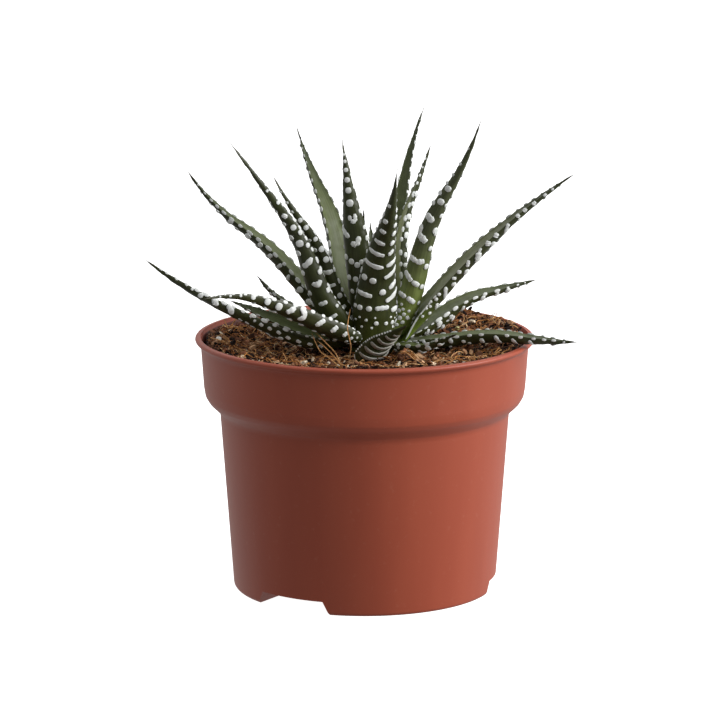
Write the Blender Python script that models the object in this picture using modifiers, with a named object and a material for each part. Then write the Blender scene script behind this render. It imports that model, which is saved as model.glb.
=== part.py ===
"""A potted haworthia (zebra plant) in a 12 cm plastic nursery pot.

Blender 4.5 script. Metres, +Z up. The origin is the centre of the pot's foot, on the
surface that it stands on, and -Y is the plant's front. Dimensions below are in
millimetres and degrees, and MM turns them to metres where a shape is made.

The pot is a turned shell with three drainage channels under its floor. The potting mix
fills it, the stem stands in a pocket in the mix, and every leaf is a separate loft
seated on the stem's dome. Perlite and slow-release prills lie loose on the mix.
"""

from collections import namedtuple
from math import cos, exp, hypot, pi, radians, sin
from random import Random

import bmesh
import bpy
from mathutils import Matrix, Vector
from numpy import interp

MM = 0.001
GAP = 0.3  # clearance between touching solids

# ---- Pot -----------------------------------------------------------------------------
RIM_RADIUS = 60.0
POT_HEIGHT = 90.3
WALL = 1.1
FLOOR = 1.4
FOOT_RADIUS = 46.7
POT_STEPS = 48

# Outer outline of the turned body as (radius, height), from the lip down to the foot.
POT_OUTLINE = [
    (58.9, POT_HEIGHT),
    (RIM_RADIUS - 0.3, 90.0),
    (RIM_RADIUS, 89.4),
    (59.6, 88.7),
    (58.3, 87.9),
    (57.9, 86.8),
    (56.9, 72.4),
    (56.4, 69.4),
    (55.2, 67.4),
    (51.7, 64.1),
    (51.2, 62.6),
    (FOOT_RADIUS + 0.2, 2.2),
    (FOOT_RADIUS - 0.2, 0.8),
    (FOOT_RADIUS - 1.0, 0.0),
]
# Inner outline, from above the lip down to the floor.
CAVITY_OUTLINE = [
    (58.0, POT_HEIGHT + 2.0),
    (58.0, 90.0),
    (57.2, 88.6),
    (56.8, 86.8),
    (55.8, 72.3),
    (55.3, 70.0),
    (54.4, 68.3),
    (50.9, 65.0),
    (50.1, 62.6),
    (FOOT_RADIUS - WALL + 0.2, 3.2),
    (FOOT_RADIUS - WALL - 1.6, FLOOR),
]

# ---- Drainage channels under the floor -----------------------------------------------
CHANNEL_AZIMUTHS = (-124.0, -4.0, 116.0)
CHANNEL_WIDTH = 25.5
CHANNEL_HEIGHT = 4.8
CHANNEL_DRAFT = 2.2  # how much further out each side lies at the foot than at the ceiling
RECESS_RADIUS = 17.0  # the round hollow in which the channels meet
RECESS_HEIGHT = 5.6
DRAIN_HOLE_RADIUS = 3.6
DRAIN_HOLE_AT = 30.0  # distance of each channel's hole from the axis
UNDERCUT = 2.0  # how far a cutter runs past the face that it opens

# ---- Potting mix ---------------------------------------------------------------------
MIX_LEVEL = 86.8  # mean height of the surface
MIX_TILT = 2.2  # it is heaped towards the back right and sunk at the left
MIX_TILT_AZIMUTH = 45.0
MIX_DISH_DEPTH = 1.6  # a shallow dish round the stem, under the low leaves
MIX_DISH_RADIUS = 20.0
MIX_RINGS = (56.2, 48.0, 38.0, 28.0, 20.0, 15.0)

# ---- Stem ----------------------------------------------------------------------------
CROWN_X, CROWN_Y = 4.0, -4.0
DOME_RADIUS = 9.5
DOME_BASE = 89.5  # height of the dome's widest ring
DOME_HEIGHT = 8.5
STEM_BOTTOM = 76.0
STEM_FOOT_RADIUS = 6.5
STEM_STEPS = 28
DOME_RINGS = 6

# ---- Leaves --------------------------------------------------------------------------
# widths: full width an eighth, a half and four fifths of the way to the tip
# foot: width at the base as a share of the first of them
# heading: compass direction seen from above, 0 along +X and 90 along +Y
# rises: angle above the horizontal at the foot, a third and two thirds along, and at the tip
# polar, azimuth: where on the dome the leaf is seated; roll: twist about its own axis
Leaf = namedtuple("Leaf", "name length widths foot heading rises polar azimuth roll")
LEAVES = [
    # the young upright heart
    Leaf("leaf_heart", 37, (5.0, 3.4, 1.5), 0.60, 150, (76, 85, 92, 92), 18, 150, 0),
    Leaf("leaf_heart_back", 32, (4.6, 3.2, 1.4), 0.60, 60, (70, 76, 80, 82), 20, 30, 0),
    # the inner whorl, nearly upright
    Leaf("leaf_front_centre", 71, (16.5, 9.8, 3.4), 0.36, 285, (90, 71, 50, 74), 86, 270, 0),
    Leaf("leaf_front_left", 67, (11.0, 9.0, 3.2), 0.42, 226, (80, 80, 81, 82), 44, 234, 15),
    Leaf("leaf_back_left", 76, (8.5, 7.3, 2.7), 0.50, 126, (31, 76, 50, 64), 48, 130, 0),
    Leaf("leaf_back_right", 77, (8.0, 5.5, 2.1), 0.50, 62, (72, 74, 67, 51), 40, 60, 0),
    Leaf("leaf_right_upright", 64, (8.0, 6.0, 2.2), 0.55, 15, (78, 94, 70, 72), 50, 2, 0),
    Leaf("leaf_right_tall", 85.5, (9.6, 6.6, 2.4), 0.42, 320, (66, 75, 54, 70), 66, 332, -20),
    Leaf("leaf_left_inner", 66, (6.6, 5.0, 2.2), 0.50, 218, (46, 71, 51, 60), 54, 198, 20),
    Leaf("leaf_left_tall", 89, (10.5, 5.6, 2.1), 0.40, 213, (34, 72, 52, 52), 78, 218, 25),
    # the outer whorl
    Leaf("leaf_right_long", 84, (10.0, 7.4, 2.8), 0.42, 350, (54, 49, 42, 36), 82, 341, 10),
    Leaf("leaf_left_long", 80, (11.0, 7.6, 2.8), 0.42, 181, (38, 53, 36, 58), 74, 178, -12),
    Leaf("leaf_left_arched", 70, (10.0, 7.5, 3.0), 0.42, 216, (24, 27, 22, -3), 88, 240, 20),
    Leaf("leaf_left_low", 84, (9.0, 7.0, 3.6), 0.40, 200, (-2, 26, 29, 40), 93, 213, 5),
    Leaf("leaf_left_low_inner", 44, (5.5, 4.2, 2.2), 0.60, 188, (10, 18, 24, 28), 91, 186, 0),
    Leaf("leaf_left_short", 40, (6.0, 4.6, 2.2), 0.60, 164, (20, 24, 33, 54), 90, 162, 0),
    Leaf("leaf_right_short", 52, (8.5, 6.5, 3.4), 0.50, 17, (21, 33, 11, 14), 88, 8, 10),
    Leaf("leaf_right_low", 63, (9.0, 8.0, 4.8), 0.42, 345, (2, 12, -4, 4), 94, 332, 0),
    Leaf("leaf_right_back_small", 34, (6.0, 4.6, 2.4), 0.60, 30, (2, 8, 36, 54), 90, 34, 0),
    Leaf("leaf_front_right_small", 29, (6.5, 5.0, 2.6), 0.60, 321, (0, 4, 28, 28), 94, 304, 0),
    # leaves that the rosette hides from the front
    Leaf("leaf_back_upright", 38, (7.0, 5.2, 2.4), 0.50, 98, (46, 64, 62, 58), 62, 86, 0),
    Leaf("leaf_back_low", 60, (9.0, 6.4, 2.6), 0.50, 104, (18, 36, 32, 18), 88, 104, 0),
    Leaf("leaf_back_right_low", 58, (9.0, 6.4, 2.6), 0.50, 72, (12, 32, 26, 16), 88, 72, 0),
    Leaf("leaf_back_left_low", 46, (8.0, 6.0, 2.4), 0.50, 127, (8, 30, 24, 14), 90, 138, 0),
]
RISE_STATIONS = (0.0, 1 / 3, 2 / 3, 1.0)
WIDTH_STATIONS = (0.125, 0.5, 0.8)
LEAF_RINGS = 12
LEAF_SIDES = 10
THICKNESS_SHARE = 0.42  # of the width, on top of a least thickness
LEAST_THICKNESS = 0.5
MOST_THICKNESS = 5.0
FOOT_THICKNESS = 0.6  # at the base, as a share of the thickness further up
TIP_CROWDING = 1.3  # over 1 sets the rings closer together towards the tip
TIP_REACH = 0.97  # where on the leaf the last ring lies
UPPER_HOLLOW = 0.06  # of the thickness, how far the upper face sinks between its margins

# A small leaf of its own that comes up out of the mix in front of the stem.
ROOTED_LEAF = Leaf(
    "leaf_front_small", 23, (10.5, 8.0, 3.6), 0.8, 311, (60, 36, 31, 35), None, None, 0
)
ROOTED_LEAF_AT = (2.0, -23.0, 84.8)
SOCKET_RADIUS = 5.0
SOCKET_DEPTH = 1.0

# ---- Grains on the mix ---------------------------------------------------------------
# name, size, x, y: white expanded perlite, angular
PERLITE_GRAINS = [
    ("perlite_grain_1", 1.9, -12.5, -33.0),
    ("perlite_grain_2", 1.6, -9.5, -39.0),
    ("perlite_grain_3", 1.8, 12.0, -47.0),
    ("perlite_grain_4", 1.5, 34.0, -41.0),
    ("perlite_grain_5", 2.0, -20.0, 38.0),
]
# round slow-release fertiliser
FERTILISER_PRILLS = [
    ("fertiliser_prill_1", 2.2, -51.5, -4.0),
    ("fertiliser_prill_2", 1.8, 33.0, 12.0),
    ("fertiliser_prill_3", 1.8, 20.0, 44.0),
]
GRAIN_GAP = 0.45
GRAIN_SEED = 7

POTTED_HAWORTHIA, CUTTERS = "potted_haworthia", "cutters"


# ---- Scene helpers -------------------------------------------------------------------


def clear_scene():
    for obj in list(bpy.data.objects):
        bpy.data.objects.remove(obj, do_unlink=True)


def make_collection(name):
    collection = bpy.data.collections.new(name)
    bpy.context.scene.collection.children.link(collection)
    return collection


def finish(name, colour, roughness):
    """A Principled material with no metal in it."""
    material = bpy.data.materials.new(name)
    material.use_nodes = True
    shader = material.node_tree.nodes["Principled BSDF"]
    shader.inputs["Base Color"].default_value = (*colour, 1.0)
    shader.inputs["Roughness"].default_value = roughness
    shader.inputs["Metallic"].default_value = 0.0
    material.diffuse_color = (*colour, 1.0)
    return material


def make_object(name, mesh, collection, material=None):
    """An object of the model, or a cutter if it has no material."""
    obj = bpy.data.objects.new(name, mesh)
    bpy.data.collections[collection].objects.link(obj)
    if material:
        mesh.materials.append(material)
    else:
        obj.hide_render = True
        obj.display_type = "WIRE"
    return obj


def mesh_of(bm, name, crease_angle=40.0):
    """Turns a bmesh into a mesh with faces outwards and round places smooth."""
    bmesh.ops.recalc_face_normals(bm, faces=bm.faces)
    mesh = bpy.data.meshes.new(name)
    bm.to_mesh(mesh)
    bm.free()
    mesh.shade_smooth()
    mesh.set_sharp_from_angle(angle=radians(crease_angle))
    return mesh


def turned(name, outline, steps, collection, material=None):
    """Turns (radius, height) points, which run down the outside from axis to axis."""
    mesh = bpy.data.meshes.new(name)
    points = [(radius * MM, 0.0, height * MM) for radius, height in outline]
    mesh.from_pydata(points, [(i, i + 1) for i in range(len(points) - 1)], [])
    obj = make_object(name, mesh, collection, material)
    screw = obj.modifiers.new("Turn", "SCREW")
    screw.steps = screw.render_steps = steps
    screw.use_merge_vertices = True
    screw.merge_threshold = 1e-6
    return obj


def settled(obj):
    """Replaces the object's mesh with what its modifiers make of it."""
    graph = bpy.context.evaluated_depsgraph_get()
    mesh = bpy.data.meshes.new_from_object(obj.evaluated_get(graph))
    obj.modifiers.clear()
    obj.data = mesh
    return mesh


def cut(obj, cutters):
    for cutter in cutters:
        boolean = obj.modifiers.new("Cut " + cutter.name, "BOOLEAN")
        boolean.object = cutter


def cylinder_cutter(name, radius, bottom, top, x=0.0, y=0.0, steps=POT_STEPS):
    bm = bmesh.new()
    bmesh.ops.create_cone(
        bm,
        cap_ends=True,
        segments=steps,
        radius1=radius * MM,
        radius2=radius * MM,
        depth=(top - bottom) * MM,
        matrix=Matrix.Translation(Vector((x, y, (bottom + top) / 2)) * MM),
    )
    return make_object(name, mesh_of(bm, name), CUTTERS)


# ---- Pot -----------------------------------------------------------------------------


def channel_cutter(name, azimuth, grow):
    """A bar from the recess out through the wall, wider at the foot, grown on every side."""
    inner, outer = RECESS_RADIUS / 2, FOOT_RADIUS + UNDERCUT
    top = CHANNEL_HEIGHT + grow
    bm = bmesh.new()
    bmesh.ops.create_cube(bm, size=1.0)
    for vert in bm.verts:
        x, side, up = vert.co
        half = CHANNEL_WIDTH / 2 + grow
        if up < 0:
            half += CHANNEL_DRAFT * (top + UNDERCUT) / CHANNEL_HEIGHT
        vert.co = Vector((outer if x > 0 else inner, 2 * side * half, -UNDERCUT))
        if up > 0:
            vert.co.z = top
        vert.co *= MM
    bmesh.ops.rotate(bm, verts=bm.verts, matrix=Matrix.Rotation(radians(azimuth), 3, "Z"))
    return make_object(name, mesh_of(bm, name), CUTTERS)


def underside_cutters(label, grow):
    """The three channels and the recess that they meet in."""
    cutters = [
        channel_cutter(f"{label}_channel_{i}", azimuth, grow)
        for i, azimuth in enumerate(CHANNEL_AZIMUTHS, 1)
    ]
    radius, top = RECESS_RADIUS + grow, RECESS_HEIGHT + grow
    return [*cutters, cylinder_cutter(f"{label}_recess", radius, -UNDERCUT, top)]


def make_pot():
    plastic = finish("terracotta_plastic", (0.33, 0.062, 0.036), 0.42)
    outline = [(0.0, POT_HEIGHT), *POT_OUTLINE, (0.0, 0.0)]
    pot = turned("pot", outline, POT_STEPS, POTTED_HAWORTHIA, plastic)
    hollow = [(0.0, CAVITY_OUTLINE[0][1]), *CAVITY_OUTLINE, (0.0, FLOOR)]
    cavity = turned("cavity", hollow, POT_STEPS, CUTTERS)
    cut(cavity, underside_cutters("raised_floor", WALL))
    cut(pot, [*underside_cutters("underside", 0.0), cavity])
    for i, azimuth in enumerate(CHANNEL_AZIMUTHS, 1):
        x = DRAIN_HOLE_AT * cos(radians(azimuth))
        y = DRAIN_HOLE_AT * sin(radians(azimuth))
        bottom, top = CHANNEL_HEIGHT - 1.0, CHANNEL_HEIGHT + WALL + 1.0
        name = f"drain_hole_{i}"
        cut(pot, [cylinder_cutter(name, DRAIN_HOLE_RADIUS, bottom, top, x, y, steps=16)])


# ---- Potting mix and stem ------------------------------------------------------------


def mix_height(x, y):
    """Height of the mix's surface: a gentle tilt with a shallow dish round the stem."""
    towards = x * cos(radians(MIX_TILT_AZIMUTH)) + y * sin(radians(MIX_TILT_AZIMUTH))
    across = hypot(x - CROWN_X, y - CROWN_Y)
    dish = MIX_DISH_DEPTH * exp(-((across / MIX_DISH_RADIUS) ** 2))
    return MIX_LEVEL + MIX_TILT * towards / RIM_RADIUS - dish


def make_mix():
    """Fills the pot to just inside its wall, on a slack top that follows mix_height."""
    soil = finish("coir_mix", (0.082, 0.036, 0.018), 0.95)
    wall = [(radius - 2 * GAP, height) for radius, height in CAVITY_OUTLINE[4:]]
    surface = [(r, MIX_LEVEL) for r in reversed(MIX_RINGS)]
    outline = [(0.0, MIX_LEVEL), *surface, *wall[:-1], (wall[-1][0], FLOOR + GAP)]
    mix = turned("potting_mix", [*outline, (0.0, FLOOR + GAP)], POT_STEPS, POTTED_HAWORTHIA, soil)
    for vert in settled(mix).vertices:
        if vert.co.z > (MIX_LEVEL - GAP) * MM:
            vert.co.z = mix_height(vert.co.x / MM, vert.co.y / MM) * MM
    cut(mix, underside_cutters("mix_floor", WALL + GAP))
    radius = DOME_RADIUS + GAP
    top = MIX_LEVEL + 10.0
    x, y = CROWN_X, CROWN_Y
    cut(mix, [cylinder_cutter("stem_pocket", radius, STEM_BOTTOM - GAP, top, x, y, STEM_STEPS)])
    x, y, z = ROOTED_LEAF_AT
    cut(mix, [cylinder_cutter("leaf_pocket", SOCKET_RADIUS, z - SOCKET_DEPTH, top, x, y, 16)])


def make_stem():
    bark = finish("stem_tissue", (0.11, 0.13, 0.035), 0.6)
    dome = [
        (DOME_RADIUS * sin(turn), DOME_BASE + DOME_HEIGHT * cos(turn))
        for turn in (pi / 2 * i / DOME_RINGS for i in range(DOME_RINGS + 1))
    ]
    outline = [*dome, (STEM_FOOT_RADIUS, STEM_BOTTOM), (0.0, STEM_BOTTOM)]
    stem = turned("stem", outline, STEM_STEPS, POTTED_HAWORTHIA, bark)
    stem.location = (CROWN_X * MM, CROWN_Y * MM, 0.0)


# ---- Leaves --------------------------------------------------------------------------


def leaf_axes(leaf, share):
    """Tangent, right-hand side and upper-face normal at a share of the leaf's length."""
    rise = radians(interp(share, RISE_STATIONS, leaf.rises))
    heading = radians(leaf.heading)
    ahead = Vector((cos(heading), sin(heading), 0.0))
    right = Vector((sin(heading), -cos(heading), 0.0))
    tangent = ahead * cos(rise) + Vector((0.0, 0.0, sin(rise)))
    turn = Matrix.Rotation(radians(leaf.roll), 3, tangent)
    return tangent, turn @ right, turn @ right.cross(tangent)


def leaf_section(leaf, share):
    """One ring as offsets (across, up): a slightly hollow upper face over a rounded keel."""
    foot = leaf.foot * leaf.widths[0]
    width = interp(share, (0.0, *WIDTH_STATIONS, 1.0), (foot, *leaf.widths, 0.0))
    thickness = min(LEAST_THICKNESS + THICKNESS_SHARE * width, MOST_THICKNESS)
    thickness *= interp(share, (0.0, WIDTH_STATIONS[0]), (FOOT_THICKNESS, 1.0))
    ring = []
    for k in range(LEAF_SIDES):
        angle = 2 * pi * k / LEAF_SIDES
        depth = UPPER_HOLLOW * sin(angle) if k < LEAF_SIDES / 2 else -sin(angle)
        ring.append((width / 2 * cos(angle), thickness * (0.5 - depth)))
    return ring


def leaf_rings(leaf, foot_point):
    """The points of each ring from the foot up, and the tip."""
    steps = 200
    left = [1 - i / (LEAF_RINGS - 1) for i in range(LEAF_RINGS)]
    shares = [TIP_REACH * (1 - share**TIP_CROWDING) for share in left]
    place, done, rings = Vector(foot_point), 0, []
    for share in [*shares, 1.0]:
        while done < round(share * steps):
            place = place + leaf_axes(leaf, (done + 0.5) / steps)[0] * (leaf.length / steps)
            done += 1
        _, right, upper = leaf_axes(leaf, share)
        rings.append([place + right * a + upper * u for a, u in leaf_section(leaf, share)])
    return rings[:-1], place


def clearance_from_dome(point):
    """About how far a point lies outside the stem."""
    across = hypot(point.x - CROWN_X, point.y - CROWN_Y)
    if point.z <= DOME_BASE:
        return across - DOME_RADIUS
    return (hypot(across / DOME_RADIUS, (point.z - DOME_BASE) / DOME_HEIGHT) - 1) * DOME_HEIGHT


def seated_leaf(leaf):
    """The leaf's rings, with its foot moved out of the dome until it just clears it."""
    polar, azimuth = radians(leaf.polar), radians(leaf.azimuth)
    out = Vector((sin(polar) * cos(azimuth), sin(polar) * sin(azimuth), cos(polar)))
    seat = Vector((CROWN_X, CROWN_Y, DOME_BASE))
    seat += Vector((DOME_RADIUS * out.x, DOME_RADIUS * out.y, DOME_HEIGHT * out.z))
    while True:
        rings, tip = leaf_rings(leaf, seat)
        if min(clearance_from_dome(point) for ring in rings for point in ring) >= GAP:
            return rings, tip
        seat += out * 0.1


def loft(name, rings, tip):
    """Bridges each ring to the next, caps the foot and draws the last ring to the tip."""
    bm = bmesh.new()
    loops = []
    for ring in rings:
        verts = [bm.verts.new(point * MM) for point in ring]
        loops.append([bm.edges.new((verts[k - 1], verts[k])) for k in range(len(verts))])
    for lower, higher in zip(loops, loops[1:]):
        bmesh.ops.bridge_loops(bm, edges=lower + higher)
    bmesh.ops.edgenet_fill(bm, edges=loops[0])
    point = bm.verts.new(tip * MM)
    for edge in loops[-1]:
        bm.faces.new((*edge.verts, point))
    return mesh_of(bm, name, crease_angle=60.0)


def make_leaves():
    for leaf in LEAVES:
        skin = finish(leaf.name + "_skin", (0.032, 0.060, 0.022), 0.45)
        make_object(leaf.name, loft(leaf.name, *seated_leaf(leaf)), POTTED_HAWORTHIA, skin)
    leaf = ROOTED_LEAF
    skin = finish(leaf.name + "_skin", (0.040, 0.055, 0.028), 0.5)
    mesh = loft(leaf.name, *leaf_rings(leaf, Vector(ROOTED_LEAF_AT)))
    make_object(leaf.name, mesh, POTTED_HAWORTHIA, skin)


# ---- Grains --------------------------------------------------------------------------


def make_grains():
    dice = Random(GRAIN_SEED)
    for name, size, x, y in PERLITE_GRAINS:
        bm = bmesh.new()
        bmesh.ops.create_icosphere(bm, subdivisions=1, radius=size / 2 * MM)
        for vert in bm.verts:
            vert.co *= dice.uniform(0.78, 1.0)
        height = mix_height(x, y) + GRAIN_GAP + size / 2
        bmesh.ops.translate(bm, verts=bm.verts, vec=Vector((x, y, height)) * MM)
        white = finish(name + "_glass", (0.72, 0.68, 0.60), 0.9)
        make_object(name, mesh_of(bm, name), POTTED_HAWORTHIA, white)
    for name, size, x, y in FERTILISER_PRILLS:
        bm = bmesh.new()
        bmesh.ops.create_uvsphere(bm, u_segments=10, v_segments=6, radius=size / 2 * MM)
        height = mix_height(x, y) + GRAIN_GAP + size / 2
        bmesh.ops.translate(bm, verts=bm.verts, vec=Vector((x, y, height)) * MM)
        resin = finish(name + "_resin", (0.62, 0.58, 0.36), 0.35)
        make_object(name, mesh_of(bm, name), POTTED_HAWORTHIA, resin)


def main():
    clear_scene()
    make_collection(POTTED_HAWORTHIA)
    make_collection(CUTTERS).hide_render = True
    make_pot()
    make_mix()
    make_stem()
    make_leaves()
    make_grains()


main()
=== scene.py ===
# %% [markdown]
# # A potted haworthia, drawn round its CAD model
# The plant is a zebra haworthia in a 12 cm nursery pot. The CAD model gives every size
# and place, and this script gives the looks: a turned plastic pot, a crust of coir mix,
# smooth leaves, and the white tubercles that make the zebra bands. It could all be
# sculpted by hand, but each piece here is worked out from its CAD body, so that it stays
# where that body is.

# %% Start: load the fixed frame
from collections import namedtuple
from math import cos, exp, hypot, pi, radians, sin
from random import Random

import bmesh
import bpy
import numpy as np
from mathutils import Euler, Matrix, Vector, noise


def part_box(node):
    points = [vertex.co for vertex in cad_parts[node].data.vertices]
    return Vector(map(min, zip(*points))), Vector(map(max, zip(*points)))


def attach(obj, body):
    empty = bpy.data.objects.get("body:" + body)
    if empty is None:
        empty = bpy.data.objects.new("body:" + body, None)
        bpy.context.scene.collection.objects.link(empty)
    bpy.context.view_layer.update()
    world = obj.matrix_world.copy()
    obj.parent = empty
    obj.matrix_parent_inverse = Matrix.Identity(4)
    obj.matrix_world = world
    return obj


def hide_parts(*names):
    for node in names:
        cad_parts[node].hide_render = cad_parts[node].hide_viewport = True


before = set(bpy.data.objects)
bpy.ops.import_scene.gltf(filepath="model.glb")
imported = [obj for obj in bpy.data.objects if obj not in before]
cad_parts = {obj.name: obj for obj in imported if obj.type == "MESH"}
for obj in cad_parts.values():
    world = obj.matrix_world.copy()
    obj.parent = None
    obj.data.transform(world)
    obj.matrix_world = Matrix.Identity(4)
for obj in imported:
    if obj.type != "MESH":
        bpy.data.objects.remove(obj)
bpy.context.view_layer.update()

MM = 0.001

# %% [markdown]
# ## Small helpers
# Blender's operators act on whatever is selected, so each step starts from nothing
# selected. Colours are written as the sRGB hex values that a painter would pick, and
# shaders want linear light, so one function turns the one into the other.

# %% Helpers
def linear(hex_colour):
    """An sRGB hex colour as linear RGBA."""
    parts = [int(hex_colour[i : i + 2], 16) / 255 for i in (1, 3, 5)]
    return (*[p / 12.92 if p <= 0.04045 else ((p + 0.055) / 1.055) ** 2.4 for p in parts], 1.0)


def add_node(tree, kind, inputs, **settings):
    """Adds a node with its settings. Each input is a value, or the socket that feeds it. Inputs
    go by name, or by number where a name repeats: a Map Range has 0 value, 1 and 2 the range
    it comes from and 3 and 4 the range it goes to, and a Mix has 0 factor, 2 and 3 numbers and
    6 and 7 colours."""
    node = tree.nodes.new(kind)
    for name, value in settings.items():
        setattr(node, name, value)
    for socket, value in inputs.items():
        if isinstance(value, bpy.types.NodeSocket):
            tree.links.new(value, node.inputs[socket])
        else:
            node.inputs[socket].default_value = value
    return node


def new_material(name, **sockets):
    """A material, its node tree and its Principled shader. The shader's sockets are set by
    name, with an underscore for each space."""
    material = bpy.data.materials.new(name)
    material.use_nodes = True
    shader = material.node_tree.nodes["Principled BSDF"]
    for socket, value in sockets.items():
        shader.inputs[socket.replace("_", " ")].default_value = value
    return material, material.node_tree, shader


def start_piece(name):
    """Names the object that an operator has just added."""
    obj = bpy.context.object
    obj.name = obj.data.name = name
    return obj


def deselect():
    """Goes back to object mode with nothing selected."""
    if bpy.context.object and bpy.context.object.mode != "OBJECT":
        bpy.ops.object.mode_set(mode="OBJECT")
    bpy.ops.object.select_all(action="DESELECT")


def activate(obj):
    """Makes an object the active one, and the only one selected."""
    deselect()
    obj.select_set(True)
    bpy.context.view_layer.objects.active = obj


def face_outwards(obj, merge=1e-6):
    """Merges doubles, then turns every face outwards."""
    activate(obj)
    bpy.ops.object.mode_set(mode="EDIT")
    bpy.ops.mesh.select_all(action="SELECT")
    bpy.ops.mesh.remove_doubles(threshold=merge)
    bpy.ops.mesh.normals_make_consistent(inside=False)
    bpy.ops.object.mode_set(mode="OBJECT")


def mesh_piece(name, points, faces, material, crease=50.0, tones=None):
    """A piece from points and faces that are already worked out, in metres. tones gives each
    point a number for its material to read."""
    mesh = bpy.data.meshes.new(name)
    mesh.from_pydata(points, [], faces)
    if tones is not None:
        mesh.attributes.new("tone", "FLOAT", "POINT").data.foreach_set("value", tones)
    obj = bpy.data.objects.new(name, mesh)
    bpy.context.scene.collection.objects.link(obj)
    face_outwards(obj)
    bpy.ops.object.shade_smooth_by_angle(angle=radians(crease))
    mesh.materials.append(material)
    return obj


# %% [markdown]
# ## Camera
# The plant is seen from far off through a long lens, a little from above, so that the
# pot's mouth shows as a narrow ellipse. The camera looks along +Y, tilted down.

# %% Camera
CAMERA_BACK, CAMERA_UP, CAMERA_ASIDE = 1411.7, 376.1, -0.94  # from the pot's foot, in mm
CAMERA_TILT = 11.822  # degrees below the horizontal
LENS, SENSOR = 202.6, 36.0  # in mm
NEAREST, FARTHEST = 0.05, 20.0  # what the camera sees, in metres

deselect()
bpy.ops.object.camera_add(
    location=(CAMERA_ASIDE * MM, -CAMERA_BACK * MM, CAMERA_UP * MM),
    rotation=(radians(90 - CAMERA_TILT), 0, 0),
)
camera = start_piece("camera")
camera.data.lens, camera.data.sensor_width = LENS, SENSOR
camera.data.clip_start, camera.data.clip_end = NEAREST, FARTHEST
camera.data.dof.use_dof = False
bpy.context.scene.camera = camera
bpy.context.scene.view_settings.view_transform = "Standard"
print("camera lens:", LENS, "mm")

# %% [markdown]
# ## Studio
# The plant stands on white paper in a white studio. The paper glows a little, so that it
# stays white round the foot, and it sends no light back to the pot. What lights the plant
# is one large softbox at the right, and a surround that is dim in front and brighter
# behind, which gives the dark body and the pale edges of the pot. The camera itself sees
# the surround as plain white.

# %% Floor
WHITE = (1, 1, 1, 1)
FLOOR_RADIUS = 6.0  # in metres; the rim doesn't show, since the surround is as white

deselect()
bpy.ops.mesh.primitive_circle_add(vertices=64, radius=FLOOR_RADIUS, fill_type="NGON")
floor = start_piece("studio_floor")
paper, _, _ = new_material(
    "studio_paper", Base_Color=linear("#d9d9d9"), Roughness=0.9, Specular_IOR_Level=0.0,
    Emission_Color=WHITE, Emission_Strength=1.0,
)
floor.data.materials.append(paper)
floor.visible_diffuse = floor.visible_glossy = False
print("floor:", floor.name)

# %% Surround and softbox
# How bright the surround is in front of the plant and behind it, and what it gains overhead
FRONT_LIGHT, BACK_LIGHT, TOP_LIGHT = 0.25, 0.62, 0.45
KEY_PLACE, KEY_AIM = Vector((1.5, -0.42, 0.7)), Vector((0, 0, 0.08))  # in metres
KEY_SIZE, KEY_POWER = 1.1, 34.0  # in metres and watts

world = bpy.data.worlds.new("white_surround")
bpy.context.scene.world = world
world.use_nodes = True
tree = world.node_tree
tree.nodes.clear()
toward = add_node(tree, "ShaderNodeTexCoord", {}).outputs["Generated"]
split = add_node(tree, "ShaderNodeSeparateXYZ", {0: toward})
depth = add_node(
    tree, "ShaderNodeMapRange",
    {0: split.outputs[1], 1: -0.3, 2: 0.7, 3: FRONT_LIGHT, 4: BACK_LIGHT},
    interpolation_type="SMOOTHSTEP",
)
height = add_node(
    tree, "ShaderNodeMapRange", {0: split.outputs[2], 1: 0.2, 2: 1.0, 3: 0.0, 4: TOP_LIGHT}
)
both = add_node(tree, "ShaderNodeMath", {0: depth.outputs[0], 1: height.outputs[0]})
seen = add_node(tree, "ShaderNodeLightPath", {}).outputs["Is Camera Ray"]
strength = add_node(
    tree, "ShaderNodeMix", {0: seen, 2: both.outputs[0], 3: 1.0}, data_type="FLOAT"
)
glow = add_node(
    tree, "ShaderNodeBackground", {"Color": WHITE, "Strength": strength.outputs[0]}
)
add_node(tree, "ShaderNodeOutputWorld", {"Surface": glow.outputs[0]})

deselect()
turn = (KEY_AIM - KEY_PLACE).to_track_quat("-Z", "Y").to_euler()
bpy.ops.object.light_add(type="AREA", location=KEY_PLACE, rotation=turn)
key = start_piece("key_softbox")
key.data.shape = "SQUARE"
key.data.size, key.data.energy = KEY_SIZE, KEY_POWER
print("softbox:", KEY_SIZE, "m,", KEY_POWER, "W")

# %% [markdown]
# ## Pot
# Nursery pots like this are thin moulded polypropylene: a drafted wall, a deep collar
# that lets them stack, a rolled lip, and drainage channels under the floor. Turned work
# can be made by spinning an outline. Here a ring of points is extruded along the outline
# instead, one step at a time, which keeps each ring of faces easy to see and to edit.

# %% Turned solids
Step = namedtuple("Step", "radius height")


def eased(outline, radius=0.5):
    """Rounds each corner of an outline in mm with a short curve of three points."""
    points = [np.array(p, float) for p in outline]
    rounded = [points[0]]
    for before, corner, after in zip(points, points[1:], points[2:]):
        back, on = before - corner, after - corner
        start = corner + back * min(radius / np.linalg.norm(back), 0.45)
        end = corner + on * min(radius / np.linalg.norm(on), 0.45)
        rounded += [start, (start + 2 * corner + end) / 4, end]
    return [Step(*p) for p in (*rounded, points[-1])]


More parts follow.
